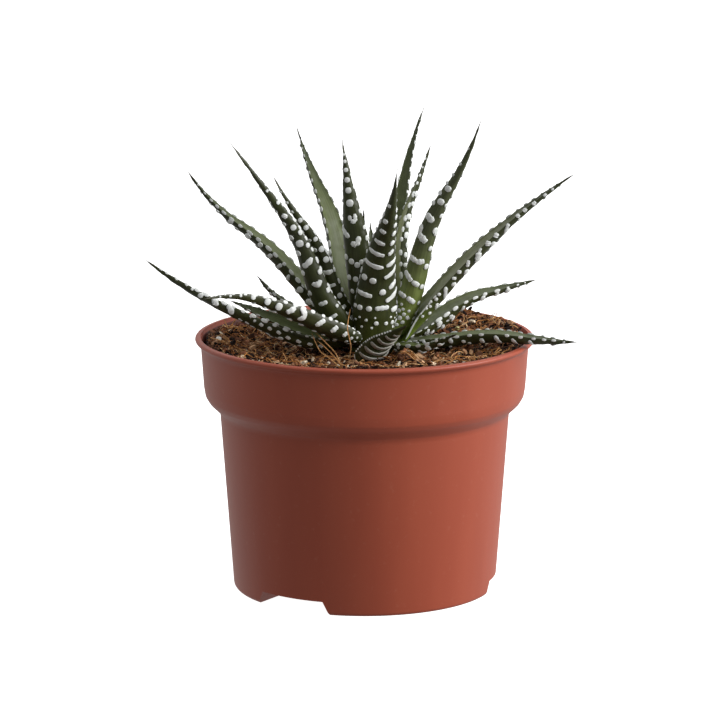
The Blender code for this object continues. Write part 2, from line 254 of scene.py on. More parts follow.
def turned(name, outline, steps=192):
    """Extrudes a ring of points from one (radius, height) to the next, and caps both ends."""
    deselect()
    first = outline[0]
    bpy.ops.mesh.primitive_circle_add(
        vertices=steps, radius=first.radius * MM, location=(0, 0, first.height * MM)
    )
    obj = start_piece(name)
    bpy.ops.object.transform_apply(location=True)
    bpy.ops.object.mode_set(mode="EDIT")
    bpy.ops.mesh.select_all(action="SELECT")
    bpy.ops.mesh.edge_face_add()
    for before, step in zip(outline, outline[1:]):
        rise, scale = (step.height - before.height) * MM, step.radius / before.radius
        bpy.ops.mesh.extrude_region_move(TRANSFORM_OT_translate={"value": (0, 0, rise)})
        centre = (0, 0, step.height * MM)
        bpy.ops.transform.resize(value=(scale, scale, 1), center_override=centre)
    bpy.ops.object.mode_set(mode="OBJECT")
    face_outwards(obj)
    return obj


def cut(obj, cutter):
    """Cuts one solid out of another, then throws the cutter away."""
    activate(obj)
    boolean = obj.modifiers.new("Cut", "BOOLEAN")
    boolean.object, boolean.operation, boolean.solver = cutter, "DIFFERENCE", "EXACT"
    bpy.ops.object.modifier_apply(modifier=boolean.name)
    bpy.data.objects.remove(cutter)


# %% Pot: wall, collar and lip
POT_TOP, LIP_RADIUS, FOOT_RADIUS, WALL, POT_FLOOR = 90.3, 60.0, 46.7, 1.1, 1.4
OUTSIDE = [
    (8.0, 0.0),
    (FOOT_RADIUS - 0.7, 0.0),
    (FOOT_RADIUS, 0.9),
    (51.2, 62.6),
    (51.7, 64.1),
    (55.2, 67.4),
    (56.4, 69.4),
    (56.9, 72.4),
    (57.9, 86.8),
    (58.3, 87.9),
    (59.6, 88.7),
    (LIP_RADIUS, 89.4),
    (LIP_RADIUS - 0.3, 90.1),
    (58.9, POT_TOP),
    (30.0, POT_TOP),
]
INSIDE = [
    (8.0, POT_FLOOR),
    (FOOT_RADIUS - WALL - 1.6, POT_FLOOR),
    (FOOT_RADIUS - WALL + 0.2, 3.2),
    (50.1, 62.6),
    (50.9, 65.0),
    (54.4, 68.3),
    (55.3, 70.0),
    (55.8, 72.3),
    (56.8, 86.8),
    (57.2, 88.6),
    (58.0, 90.0),
    (58.3, 92.0),
    (30.0, 92.0),
]
CHANNELS = (-124.0, -4.0, 116.0)  # compass directions of the drainage channels
CHANNEL_WIDTH, CHANNEL_TOP, CHANNEL_DRAFT, CHANNEL_FROM = 25.5, 4.8, 2.2, 8.5
RECESS_RADIUS, RECESS_TOP = 17.0, 5.6
HOLE_RADIUS, HOLE_AT = 3.6, 30.0
BELOW = -2.0  # cutters reach down past the foot to here


def channel_bar(name, azimuth, grow):
    """A bar from the middle out through the wall, wider at the foot."""
    outer, top = FOOT_RADIUS + 2, CHANNEL_TOP + grow
    deselect()
    bpy.ops.mesh.primitive_cube_add(size=1)
    bar = start_piece(name)
    for vert in bar.data.vertices:
        half = CHANNEL_WIDTH / 2 + grow
        if vert.co.z < 0:
            half += CHANNEL_DRAFT * (top - BELOW) / CHANNEL_TOP
        place = (outer if vert.co.x > 0 else CHANNEL_FROM, 2 * vert.co.y * half)
        vert.co = Vector((*place, top if vert.co.z > 0 else BELOW)) * MM
    bar.rotation_euler.z = radians(azimuth)
    activate(bar)
    bpy.ops.object.transform_apply(rotation=True)
    return bar


def round_bar(name, radius, low, top, x=0.0, y=0.0, steps=96):
    """An upright cylinder, in mm."""
    deselect()
    bpy.ops.mesh.primitive_cylinder_add(
        vertices=steps,
        radius=radius * MM,
        depth=(top - low) * MM,
        location=(x * MM, y * MM, (low + top) / 2 * MM),
    )
    bar = start_piece(name)
    bpy.ops.object.transform_apply(location=True)
    return bar


pot = turned("nursery_pot", eased(OUTSIDE))
hollow = turned("hollow", eased(INSIDE))
for azimuth in CHANNELS:
    cut(hollow, channel_bar("raised_floor", azimuth, WALL))
    cut(pot, channel_bar("channel", azimuth, 0.0))
cut(hollow, round_bar("raised_recess", RECESS_RADIUS + WALL, BELOW, RECESS_TOP + WALL))
cut(pot, round_bar("recess", RECESS_RADIUS, BELOW, RECESS_TOP))
cut(pot, hollow)
hole_low, hole_top = CHANNEL_TOP - 1, CHANNEL_TOP + WALL + 1
for azimuth in CHANNELS:
    x, y = HOLE_AT * cos(radians(azimuth)), HOLE_AT * sin(radians(azimuth))
    cut(pot, round_bar("hole", HOLE_RADIUS, hole_low, hole_top, x, y, steps=32))
face_outwards(pot)
bpy.ops.object.shade_smooth_by_angle(angle=radians(28))
print("pot faces:", len(pot.data.polygons))

# %% [markdown]
# ## Polypropylene
# The pot is terracotta-coloured polypropylene, moulded against fine-grained steel. It
# is an even brick red with a broad dull sheen, faint flow streaks down the wall, and
# dust from the mix. A bump of about 0.6 mm grain keeps the sheen from looking glassy.

# %% Pot material
def polypropylene(name, shade, tint, dusted):
    """Matt moulded plastic with flow streaks, dust and a fine grain."""
    plastic, tree, shader = new_material(name, Roughness=0.45, IOR=1.49, Metallic=0.0)
    place = add_node(tree, "ShaderNodeTexCoord", {}).outputs["Object"]
    drawn = add_node(tree, "ShaderNodeMapping", {"Vector": place, "Scale": (1, 1, 0.12)})
    flow = add_node(
        tree, "ShaderNodeTexNoise", {"Vector": drawn.outputs[0], "Scale": 1 / (9 * MM)}
    )
    dust = add_node(
        tree, "ShaderNodeTexNoise", {"Vector": place, "Scale": 1 / (2 * MM), "Detail": 4.0}
    )
    tone = add_node(
        tree, "ShaderNodeMix", {0: flow.outputs["Fac"], 6: linear(shade), 7: linear(tint)},
        data_type="RGBA",
    )
    specks = add_node(
        tree, "ShaderNodeMapRange", {0: dust.outputs["Fac"], 1: 0.62, 2: 0.75, 3: 0.0, 4: 0.25}
    )
    dusty = add_node(
        tree, "ShaderNodeMix", {0: specks.outputs[0], 6: tone.outputs[2], 7: linear(dusted)},
        data_type="RGBA",
    )
    tree.links.new(dusty.outputs[2], shader.inputs["Base Color"])
    grain = add_node(tree, "ShaderNodeTexNoise", {"Vector": place, "Scale": 1 / (0.6 * MM)})
    bump = add_node(
        tree, "ShaderNodeBump",
        {"Height": grain.outputs["Fac"], "Strength": 0.12, "Distance": 0.05 * MM},
    )
    tree.links.new(bump.outputs[0], shader.inputs["Normal"])
    return plastic


for name, *colours in (
    ("terracotta_polypropylene", "#9e462f", "#a84f36", "#b06650"),
    # The second copy is darker: painted shade for the inside of the wall.
    ("terracotta_polypropylene_stained", "#552418", "#6b3021", "#7a5038"),
):
    pot.data.materials.append(polypropylene(name, *colours))
# The inside of the wall between these heights, right up to the lip, takes a darker copy of the
# plastic: painted shade, where the leaves shade it.
PAINTED_SHADE_LOW, PAINTED_SHADE_TOP = 60.0, 89.2
for face in pot.data.polygons:
    inward = face.normal.x * face.center.x + face.normal.y * face.center.y < 0
    if inward and PAINTED_SHADE_LOW < face.center.z / MM < PAINTED_SHADE_TOP:
        face.material_index = 1
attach(pot, "root")
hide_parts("pot")
print("faces with painted shade:", sum(face.material_index for face in pot.data.polygons))

# %% [markdown]
# ## Leaf blades
# A haworthia leaf is a thick, tapering dagger: flat or slightly hollow inside, keeled
# and rounded outside, with a firm edge. Its CAD body is a loft of eleven rings and a tip.
# The rings are read back from the body, a smooth curve is run through them, and a fine
# sheet is rolled round that curve. A subdivision surface would shrink the tips, and this
# doesn't.

# %% Reading a leaf's rings back from its CAD body
Blade = namedtuple("Blade", "middles sides uppers widths depths shares length")
RING_POINTS = 10
KEEL_SHARE = 0.951  # how far down a ring's lowest point lies, as a share of its depth
# How far each leaf base runs on into the stem, towards a point this far below it
SOCKET_LENGTH, SOCKET_DROP = 5.0 * MM, 6.0 * MM
# How far the hard needle at the tip runs on past the CAD body, which ends blunt, in mm
NEEDLE = 1.0
NEEDLES = {"leaf_front_centre": 2.4, "leaf_right_tall": 1.8, "leaf_left_tall": 1.4}

stem_middle = np.mean(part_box("stem"), axis=0)


def rings_of(node):
    """The rings of a leaf's CAD body from foot to tip, as arrays of points, and its tip."""
    bm = bmesh.new()
    bm.from_mesh(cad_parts[node].data)
    bmesh.ops.remove_doubles(bm, verts=bm.verts, dist=1e-6)
    for vert in bm.verts:
        layers, seen = [[vert]], {vert}
        while layers[-1]:
            near = {edge.other_vert(v) for v in layers[-1] for edge in v.link_edges} - seen
            seen |= near
            layers.append(list(near))
        if all(len(layer) == RING_POINTS for layer in layers[1:-1]):
            break
    rings = [np.array([v.co[:] for v in layer]) for layer in reversed(layers[1:-1])]
    tip = np.array(layers[0][0].co[:])
    bm.free()
    return rings, tip


def unit(vectors):
    """Vectors of the same direction, each of length one."""
    return vectors / np.linalg.norm(vectors, axis=-1, keepdims=True)


def blade_of(node):
    """A leaf as a row of sections: middle, right-hand side, upper side, width and depth."""
    rings, tip = rings_of(node)
    tip = tip + unit(tip - rings[-1].mean(axis=0)) * NEEDLES.get(node, NEEDLE) * MM
    centres = [ring.mean(axis=0) for ring in rings] + [tip]
    apart = np.linalg.norm(rings[0][:, None] - rings[0][None], axis=2)
    first, second = np.unravel_index(apart.argmax(), apart.shape)
    side = unit(rings[0][first] - rings[0][second])
    rows = []
    for i, ring in enumerate(rings):
        across = (ring - centres[i]) @ side
        right, left = ring[across.argmax()], ring[across.argmin()]
        middle = (right + left) / 2
        ahead = unit(centres[i + 1] - centres[max(i - 1, 0)])
        upper = unit(np.cross(right - left, ahead))
        if upper @ (middle - centres[i]) < 0:
            side, right, left, upper = -side, left, right, -upper
        side = unit(right - left)
        depth = -((ring - middle) @ upper).min() / KEEL_SHARE
        rows.append((middle, side, upper, np.linalg.norm(right - left), depth))
    rows.append((tip, side, upper, 0.0, 0.0))
    inward = np.array([*stem_middle[:2], rows[0][0][2] - SOCKET_DROP]) - rows[0][0]
    rows.insert(0, (rows[0][0] + unit(inward) * SOCKET_LENGTH, *rows[0][1:]))
    middles, sides, uppers, widths, depths = (np.array(column) for column in zip(*rows))
    reach = np.concatenate([[0], np.linalg.norm(np.diff(middles, axis=0), axis=1).cumsum()])
    return Blade(middles, sides, uppers, widths, depths, reach / reach[-1], reach[-1])


def smooth_through(rows, index):
    """A Catmull-Rom curve through rows, read at fractional places."""
    low = np.clip(np.floor(index).astype(int), 0, len(rows) - 2)
    part = index - low
    near = rows[np.clip(low[:, None] + np.arange(-1, 3), 0, len(rows) - 1)]
    weights = np.stack(
        [
            -0.5 * part + part**2 - 0.5 * part**3,
            1 - 2.5 * part**2 + 1.5 * part**3,
            0.5 * part + 2 * part**2 - 1.5 * part**3,
            -0.5 * part**2 + 0.5 * part**3,
        ],
        axis=1,
    )
    return np.einsum("nk,nk...->n...", weights, near)


# %% The skin of a leaf, as a function of length and turn
CLASP_TO = 0.16  # the base clasps the stem up to this share of the length
CLASP_WIDTH = 0.80  # its width at the foot, as a share of the width there
# The inner face's rounded edge and the hollow between, as shares of the depth
EDGE_ROUND, EDGE_SPREAD, HOLLOW = 0.30, 0.4, 0.12
INNER_STEEP = 0.3  # how steeply the normals lean on that face, which is nearly flat
THIN = 1e-5  # the least width or depth that is divided by


def on_blade(blade, along, turn):
    """Points and outward normals on a leaf. along runs 0 foot to 1 tip. turn runs 0 at the
    right edge, over the inner face to pi at the left edge, and round the keel."""
    along = np.clip(along, 0, 1)
    index = np.interp(along, blade.shares, np.arange(len(blade.shares)))
    middle = smooth_through(blade.middles, index)
    side = unit(smooth_through(blade.sides, index))
    upper = unit(smooth_through(blade.uppers, index))
    width = np.maximum(smooth_through(blade.widths, index), 0)
    depth = np.maximum(smooth_through(blade.depths, index), 0)
    clasp = np.interp(CLASP_TO, blade.shares, blade.widths)
    grown = clasp * (CLASP_WIDTH + (1 - CLASP_WIDTH) * along / CLASP_TO)
    width = np.where(along < CLASP_TO, np.maximum(width, grown), width)
    swing, over = np.sin(turn), np.clip(np.sin(turn), 0, 1)
    inner = EDGE_ROUND * over * np.exp(-((over / EDGE_SPREAD) ** 2)) - HOLLOW * over**2
    rise = np.where(swing > 0, inner, swing) * depth
    points = middle + side * (width / 2 * np.cos(turn))[:, None] + upper * rise[:, None]
    steep = np.where(swing > 0, INNER_STEEP, 1.0) * np.maximum(depth, THIN)
    normals = side * (np.cos(turn) / np.maximum(width / 2, THIN))[:, None]
    normals += upper * (swing / steep)[:, None]
    return points, unit(normals)


RISES_BETWEEN = (0.1, 0.5)  # shares of the length between which a leaf is raised


def reshaped(blade, degrees, wider, rise):
    """The same leaf turned about its own length, made wider, and raised by so many mm."""
    angle = radians(degrees)
    lifts = rise * MM * np.interp(blade.shares, RISES_BETWEEN, (0, 1))
    middles = blade.middles + lifts[:, None] * np.array((0, 0, 1))
    sides = cos(angle) * blade.sides + sin(angle) * blade.uppers
    uppers = cos(angle) * blade.uppers - sin(angle) * blade.sides
    return blade._replace(
        middles=middles, sides=sides, uppers=uppers, widths=blade.widths * wider
    )


blades = {name: blade_of(name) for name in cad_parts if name.startswith("leaf_")}
# The small leaf is cupped wide and lifted, and two others have twisted as they grew.
for name, degrees, wider, rise in (
    ("leaf_front_small", 0, 1.35, 1.8),
    ("leaf_left_low_inner", 40, 1.4, 0.0),
    ("leaf_right_long", -9, 1.0, 0.0),
):
    blades[name] = reshaped(blades[name], degrees, wider, rise)
print("leaves:", len(blades), "longest", round(max(b.length for b in blades.values()) / MM, 1))

# %% [markdown]
# ## Leaf skin
# The skin is a tough waxy cuticle: nearly black green outside, a softer grey green
# inside, yellow green at the base where light comes through the flesh, and brown at the
# dried point. The roll's own UV map says where on the leaf a point lies, so the colours
# follow the leaf however it bends.

# %% Leaf material
INNER_SHADE, DRY_TIP = linear("#3a4227"), linear("#33261c")


def leaf_material(name, outer, outer_light, inner, base, base_to=0.34):
    """Leaf skin. The base's own green fades out at base_to, a share of the length."""
    skin, tree, shader = new_material(name, Roughness=0.42, IOR=1.42, Metallic=0.0)
    uv = add_node(tree, "ShaderNodeUVMap", {}, uv_map="roll").outputs[0]
    split = add_node(tree, "ShaderNodeSeparateXYZ", {0: uv})
    along = split.outputs[1]
    place = add_node(tree, "ShaderNodeTexCoord", {}).outputs["Object"]
    mottle = add_node(
        tree, "ShaderNodeTexNoise", {"Vector": place, "Scale": 1 / (7 * MM), "Detail": 3.0}
    )
    # Fine lines run along the leaf about 0.5 mm apart, a fortieth of the way round it.
    lines = add_node(tree, "ShaderNodeMapping", {"Vector": uv, "Scale": (40, 5, 1)})
    veins = add_node(tree, "ShaderNodeTexNoise", {"Vector": lines.outputs[0], "Scale": 1.0})
    # The sine of the turn is above nought on the inner face.
    around = add_node(
        tree, "ShaderNodeMath", {0: split.outputs[0], 1: 2 * pi}, operation="MULTIPLY"
    )
    swing = add_node(tree, "ShaderNodeMath", {0: around.outputs[0]}, operation="SINE").outputs[0]
    outer_tone = add_node(
        tree, "ShaderNodeMix", {0: mottle.outputs["Fac"], 6: linear(outer), 7: linear(outer_light)},
        data_type="RGBA",
    )
    upper_half = add_node(
        tree, "ShaderNodeMapRange", {0: along, 1: 0.45, 2: 0.95}, interpolation_type="SMOOTHSTEP"
    )
    inner_tone = add_node(
        tree, "ShaderNodeMix", {0: upper_half.outputs[0], 6: linear(inner), 7: INNER_SHADE},
        data_type="RGBA",
    )
    # Over the outer tone come the inner face's, the base's and the dry tip's, each with a mask
    # that runs from 0 at one value of its source to its strength at another.
    mixed = outer_tone.outputs[2]
    for source, low, high, strength, colour in (
        (swing, -0.05, 0.25, 1.0, inner_tone.outputs[2]),
        (along, base_to, 0.06, 1.0, linear(base)),
        (along, 0.93, 1.0, 0.8, DRY_TIP),
    ):
        mask = add_node(
            tree, "ShaderNodeMapRange", {0: source, 1: low, 2: high, 3: 0.0, 4: strength},
            interpolation_type="SMOOTHSTEP",
        )
        mixed = add_node(
            tree, "ShaderNodeMix", {0: mask.outputs[0], 6: mixed, 7: colour}, data_type="RGBA"
        ).outputs[2]
    streak = add_node(
        tree, "ShaderNodeMapRange", {0: veins.outputs["Fac"], 1: 0.3, 2: 0.7, 3: 0.8, 4: 1.2}
    )
    final = add_node(
        tree, "ShaderNodeMix", {0: 1.0, 6: mixed, 7: streak.outputs[0]},
        data_type="RGBA", blend_type="MULTIPLY",
    )
    tree.links.new(final.outputs[2], shader.inputs["Base Color"])
    bump = add_node(
        tree, "ShaderNodeBump",
        {"Height": veins.outputs["Fac"], "Strength": 0.3, "Distance": 0.15 * MM},
    )
    tree.links.new(bump.outputs[0], shader.inputs["Normal"])
    return skin


# Outer face, where it is lighter, inner face, base, and how far up the base's green reaches
leaf_skin = leaf_material("waxy_leaf_skin", "#262816", "#434a27", "#5f683f", "#383d10")
# Copies of the same skin with painted light and shade: three lighter ones for the leaves on the
# right, where the softbox falls, and a darker one for the arched, heart and back leaves.
leaf_skin_painted_lit = leaf_material(
    "waxy_leaf_skin_painted_lit", "#3e422c", "#585e40", "#6d735a", "#7c8a46", 0.54
)
leaf_skin_painted_lit_green = leaf_material(
    "waxy_leaf_skin_painted_lit_green", "#2c2f1c", "#454c2a", "#787d58", "#647628", 0.32
)
leaf_skin_painted_lit_pale = leaf_material("waxy_leaf_skin_painted_lit_pale", "#2c2f1c", "#454c2a", "#b2b985", "#4c5626")
leaf_skin_painted_shade = leaf_material("waxy_leaf_skin_painted_shade", "#2a2b18", "#434728", "#3a4029", "#333a1a")
SKINS = {
    "leaf_right_tall": leaf_skin_painted_lit,
    "leaf_right_long": leaf_skin_painted_lit_green,
    "leaf_right_upright": leaf_skin_painted_lit_pale,
    "leaf_left_arched": leaf_skin_painted_shade,
    "leaf_heart": leaf_skin_painted_shade,
    "leaf_heart_back": leaf_skin_painted_shade,
    "leaf_back_upright": leaf_skin_painted_shade,
}
print("leaves with a skin of their own:", len(SKINS))

# %% [markdown]
# ## Rolling the leaves
# Each leaf starts as a flat grid. Its columns go round the leaf and its rows go along
# it, so every grid point has one place on the skin. The first row closes to a point
# inside the stem and the last at the tip, and merging doubles closes the seam. The CAD
# leaf that it stands for is hidden.

# %% Leaves
SKIN_COLUMNS, SKIN_ROWS = 36, 72
SKIN_LUMPS, SKIN_RELIEF = 2.6, 0.28  # spacing and height of the skin's lumps, in mm


def rolled_leaf(name, blade, material):
    """A closed leaf rolled from a flat grid, with a UV map of turn and length."""
    deselect()
    bpy.ops.mesh.primitive_grid_add(
        x_subdivisions=SKIN_COLUMNS, y_subdivisions=SKIN_ROWS, size=1
    )
    obj = start_piece(name)
    mesh = obj.data
    mesh.uv_layers[0].name = "roll"
    flat = np.empty(len(mesh.vertices) * 3)
    mesh.vertices.foreach_get("co", flat)
    across, up = flat.reshape(-1, 3)[:, 0] + 0.5, flat.reshape(-1, 3)[:, 1] + 0.5
    row = 1 / SKIN_ROWS
    along = np.clip((up - row) / (1 - row), 0, 1)
    points, normals = on_blade(blade, along, 2 * pi * across)
    middles, _ = on_blade(blade, along, np.full_like(along, pi / 2))
    ends = (up < row / 2) | (up > 1 - row / 2)
    points[ends] = middles[ends]
    uneven = [noise.noise(Vector(p) / (SKIN_LUMPS * MM)) for p in points]
    points += normals * (np.array(uneven) * ~ends * SKIN_RELIEF * MM)[:, None]
    mesh.vertices.foreach_set("co", points.ravel())
    face_outwards(obj, merge=1e-7)
    bpy.ops.object.shade_smooth_by_angle(angle=radians(60))
    mesh.materials.append(material)
    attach(obj, "root")
    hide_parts(name.removesuffix("_blade"))


for name, blade in blades.items():
    rolled_leaf(name + "_blade", blade, SKINS.get(name, leaf_skin))
print("leaves rolled:", len(blades))

# %% [markdown]
# ## Tubercles
# The white bands are raised warts of colourless tissue, each up to 2 mm across. They sit
# in rows across the back of a leaf, and neighbours in a row often melt into one bar.
# Towards the tip they shrink to single dots, and a row of small teeth runs along each
# edge. Two small balls are modelled once, a plain one for dots and one with more rings for
# bars. Every wart is a copy of one of them, drawn out along a short path on the leaf and
# sunk nearly half way into the skin.

# %% The balls that every tubercle is drawn from
# along, across: where a tubercle starts and ends, in mm from the foot and as a share from
# the left edge over the keel (0) to the right edge of the outer face
# cup: how far its ends bend towards the tip, in mm; half: half its width in mm
Wart = namedtuple("Wart", "along across along_end across_end cup half")
LEFT, RIGHT = -1, 1
BAR_PROUD, DOT_PROUD = 0.34, 0.31  # height as a share of half the width
BAR_BLUNT, DOT_BLUNT = 0.20, 0.42  # the ball's own end is 0.5, and less is blunter
BAR_BEADED = 0.12  # how much a bar swells and narrows along its length
BEADS, BEAD_TURN = (1.6, 3.4), (0, 6.3)  # how many swellings it has, and where they start
RAISED = 0.12  # how far the ball's middle stands off the skin, as a share of its height
SQUARE = 0.62  # under 1 it gives a tubercle a flatter top and steeper sides
BOLD = 1.14  # warts are drawn this much wider than measured, since their sides sink in
NUDGE = 0.02  # the share of a path that its direction is taken over


def shape_of(obj):
    """The points and faces of a model, which is then thrown away."""
    points = np.array([v.co[:] for v in obj.data.vertices])
    faces = [list(p.vertices) for p in obj.data.polygons]
    bpy.data.objects.remove(obj)
    return points, faces


def ball(segments, rings):
    """Points and faces of a unit ball."""
    deselect()
    bpy.ops.mesh.primitive_uv_sphere_add(segments=segments, ring_count=rings, radius=1)
    return shape_of(start_piece("ball"))


def joined(parts):
    """Many shapes as one. parts: (points, faces) of each."""
    all_points, all_faces, base = [], [], 0
    for points, faces in parts:
        all_points.append(points)
        all_faces += [[v + base for v in face] for face in faces]
        base += len(points)
    return np.concatenate(all_points), all_faces


DOT, BAR = ball(10, 7), ball(8, 15)
print("ball points:", len(DOT[0]), "for a dot and", len(BAR[0]), "for a bar")


def draped(blade, warts, form, dice, blunt, proud, beaded=0.0):
    """Copies of a ball drawn along each wart's path on the leaf's skin."""
    points, faces = form
    count, size = len(warts), len(points)
    along, across, along_end, across_end, cup, width = np.array(warts).T[..., None]
    share = (1 - points[:, 2])[None] / 2 * np.ones((count, 1))
    spin = np.arctan2(points[:, 1], points[:, 0])[None]
    bulge = np.clip(1 - points[:, 2] ** 2, 0, 1) ** blunt
    beads = np.array([[dice.uniform(*BEADS), dice.uniform(*BEAD_TURN)] for _ in warts])
    swell = 1 + beaded * np.cos(2 * pi * beads[:, :1] * share + beads[:, 1:])

    def path(share):
        at = along + (along_end - along) * share + cup * (2 * share - 1) ** 2
        turn = (1.5 + (across + (across_end - across) * share) / 2) * pi
        return on_blade(blade, (at * MM / blade.length).ravel(), turn.ravel())

    centre, normal = path(share)
    ahead = unit(path(share + NUDGE)[0] - path(share - NUDGE)[0])
    beside = unit(np.cross(normal, ahead))
    half = (width * MM * bulge[None] * swell).ravel()[:, None]
    lift = np.repeat(width * MM * proud, size)[:, None]
    spin = np.repeat(spin, count, axis=0).ravel()[:, None]
    over, up = np.cos(spin), np.sin(spin)
    placed = centre + beside * half * np.sign(over) * np.abs(over) ** SQUARE
    placed += normal * (half * proud * np.sign(up) * np.abs(up) ** SQUARE + lift * RAISED)
    numbered = [[v + size * i for v in face] for i in range(count) for face in faces]
    return placed, numbered


def blade_size(blade, along):
    """Width of a leaf and the way round its outer face, in mm, at a place from its foot."""
    share = along * MM / blade.length
    width, depth = (np.interp(share, blade.shares, v) / MM for v in (blade.widths, blade.depths))
    return max(width, 0.1), pi * hypot(width / 2, max(depth, 0.1)) / 2**0.5


def wart(*row):
    """(along, across, half) for a dot, or (along, across, along end, across end, half[, cup])
    for a bar."""
    if len(row) == 3:
        along, across, half = row
        half *= BOLD
        return Wart(along - half, across, along + half, across, 0.0, half)
    along, across, along_end, across_end, half, *cup = row
    return Wart(along, across, along_end, across_end, cup[0] if cup else 0.0, half * BOLD)


# %% Warts that grow by rule
# What one row of warts may hold on a wide, a middling and a narrow stretch of leaf: bars as
# (start, end) across, and dots as single places
WIDE_ROWS = [
    [(-0.80, 0.10), 0.45, 0.80],
    [-0.72, (-0.35, 0.70)],
    [(-0.85, -0.20), (0.08, 0.80)],
    [-0.75, -0.30, 0.18, (0.42, 0.85)],
    [(-0.80, 0.75)],
    [(-0.85, -0.45), -0.05, 0.30, 0.72],
]
MIDDLE_ROWS = [
    [(-0.65, 0.60)],
    [-0.55, 0.40],
    [(-0.75, 0.05), 0.55],
    [-0.60, (-0.15, 0.70)],
    [-0.65, 0.0, 0.62],
]
NARROW_ROWS = [[-0.35, 0.50], [0.05], [(-0.40, 0.35)], [-0.50, 0.30], [0.0]]
TIP_ROWS = [[0.1], [-0.1]]
WIDE_ARC, MIDDLE_ARC, TIP_ARC = 10.5, 5.5, 3.2  # the way round the outer face, in mm
# Half a wart's width by the way round, and the distance between rows, in mm
HALF_BY_ARC = (1.5, 3.0, 5.5, 10.0), (0.38, 0.62, 0.90, 1.0)
PITCH_BY_ARC = (2.0, 5.0, 9.0, 14.0), (3.5, 4.3, 4.9, 5.3)
WART_FROM, WART_TO = 0.20, 0.94  # shares of the length between which rows grow
BARE_FOOT = 8.0  # no row grows nearer the foot than this, in mm
CLOSE_ROWS = {"leaf_right_upright": 0.75}  # rows at this share of the usual distance


def row_warts(blade, dice, spacing):
    """Warts in rows up a leaf: bars and dots where it is wide, single dots near the tip."""
    length = blade.length / MM
    warts, at, last = [], max(WART_FROM * length, BARE_FOOT), None
    while at < WART_TO * length:
        _, arc = blade_size(blade, at)
        rows = WIDE_ROWS if arc > WIDE_ARC else MIDDLE_ROWS if arc > MIDDLE_ARC else NARROW_ROWS
        # No row repeats the one below it, but for the single dots of the tip.
        rows = TIP_ROWS if arc < TIP_ARC else [r for r in rows if r is not last]
        row = dice.choice(rows)
        last, mirror = row, dice.choice((-1, 1))
        slant, cup = dice.uniform(-0.8, 0.8), dice.uniform(0.1, 0.9)
        size = float(np.interp(arc, *HALF_BY_ARC))
        for item in row:
            half, shift = size * dice.uniform(0.82, 1.12), dice.uniform(-0.5, 0.5)
            if isinstance(item, tuple):
                start, end = (mirror * v + dice.uniform(-0.06, 0.06) for v in item)
                low, high = at + shift + slant * start, at + shift + slant * end
                warts.append(wart(low, start, high, end, 0.76 * half, cup * abs(end - start)))
            else:
                across = mirror * item + dice.uniform(-0.08, 0.08)
                warts.append(wart(at + shift + slant * across, across, half))
        at += spacing * float(np.interp(arc, *PITCH_BY_ARC))
        at += dice.uniform(-0.4, 0.4)
    return warts


SPECKLES_FROM, SPECKLES_TO, SPECKLES_PER_AREA = 9.0, 15.0, 0.16  # in mm, and to a square mm


def speckles(blade, dice):
    """Small scattered dots on the broad base of a leaf, below the first row."""
    _, arc = blade_size(blade, SPECKLES_TO)
    spots = []
    for _ in range(round(arc * (SPECKLES_TO - SPECKLES_FROM) * SPECKLES_PER_AREA)):
        across = dice.uniform(-0.85, 0.85)
        place = dice.uniform(SPECKLES_FROM, SPECKLES_TO)
        spots.append(wart(place, across, dice.uniform(0.28, 0.62)))
    return spots


TEETH_FROM, TEETH_TO = 0.10, 0.95  # shares of the length that teeth grow between
TEETH_CLEAR = 5.0  # they start at least this far from the foot, in mm
FINE_TO = (0.25, 0.42)  # the teeth are fine and long up to somewhere between these shares
FINE_SIZE, FINE_STRETCH, FINE_PITCH = 0.45, 1.8, 2.7
TOOTH_BY_WIDTH = (0.6, 2.0, 4.0, 8.0), (0.20, 0.38, 0.58, 0.66)  # half a tooth, in mm
NARROW, NARROW_PITCH = 3.0, 0.8  # on a leaf narrower than this in mm they stand closer


def edge_teeth(blade, dice, by_hand):
    """A fine broken line along both edges low on a leaf, and beads further up."""
    length, teeth = blade.length / MM, []
    for edge in (LEFT, RIGHT):
        at = max(TEETH_FROM * length, TEETH_CLEAR) + dice.uniform(0, 3)
        while at < TEETH_TO * length:
            width, _ = blade_size(blade, at)
            half = float(np.interp(width, *TOOTH_BY_WIDTH))
            fine = at < dice.uniform(*FINE_TO) * length
            half *= dice.uniform(0.85, 1.15) * (FINE_SIZE if fine else 1.0)
            long = half * dice.uniform(1.2, 2.1) * (FINE_STRETCH if fine else 1.0)
            if fine or edge not in by_hand:
                teeth.append(Wart(at - long, edge, at + long, edge, 0.0, half))
            pitch = FINE_PITCH if fine else dice.uniform(3.2, 4.8)
            at += pitch * (NARROW_PITCH if width < NARROW else 1.0)
    return teeth
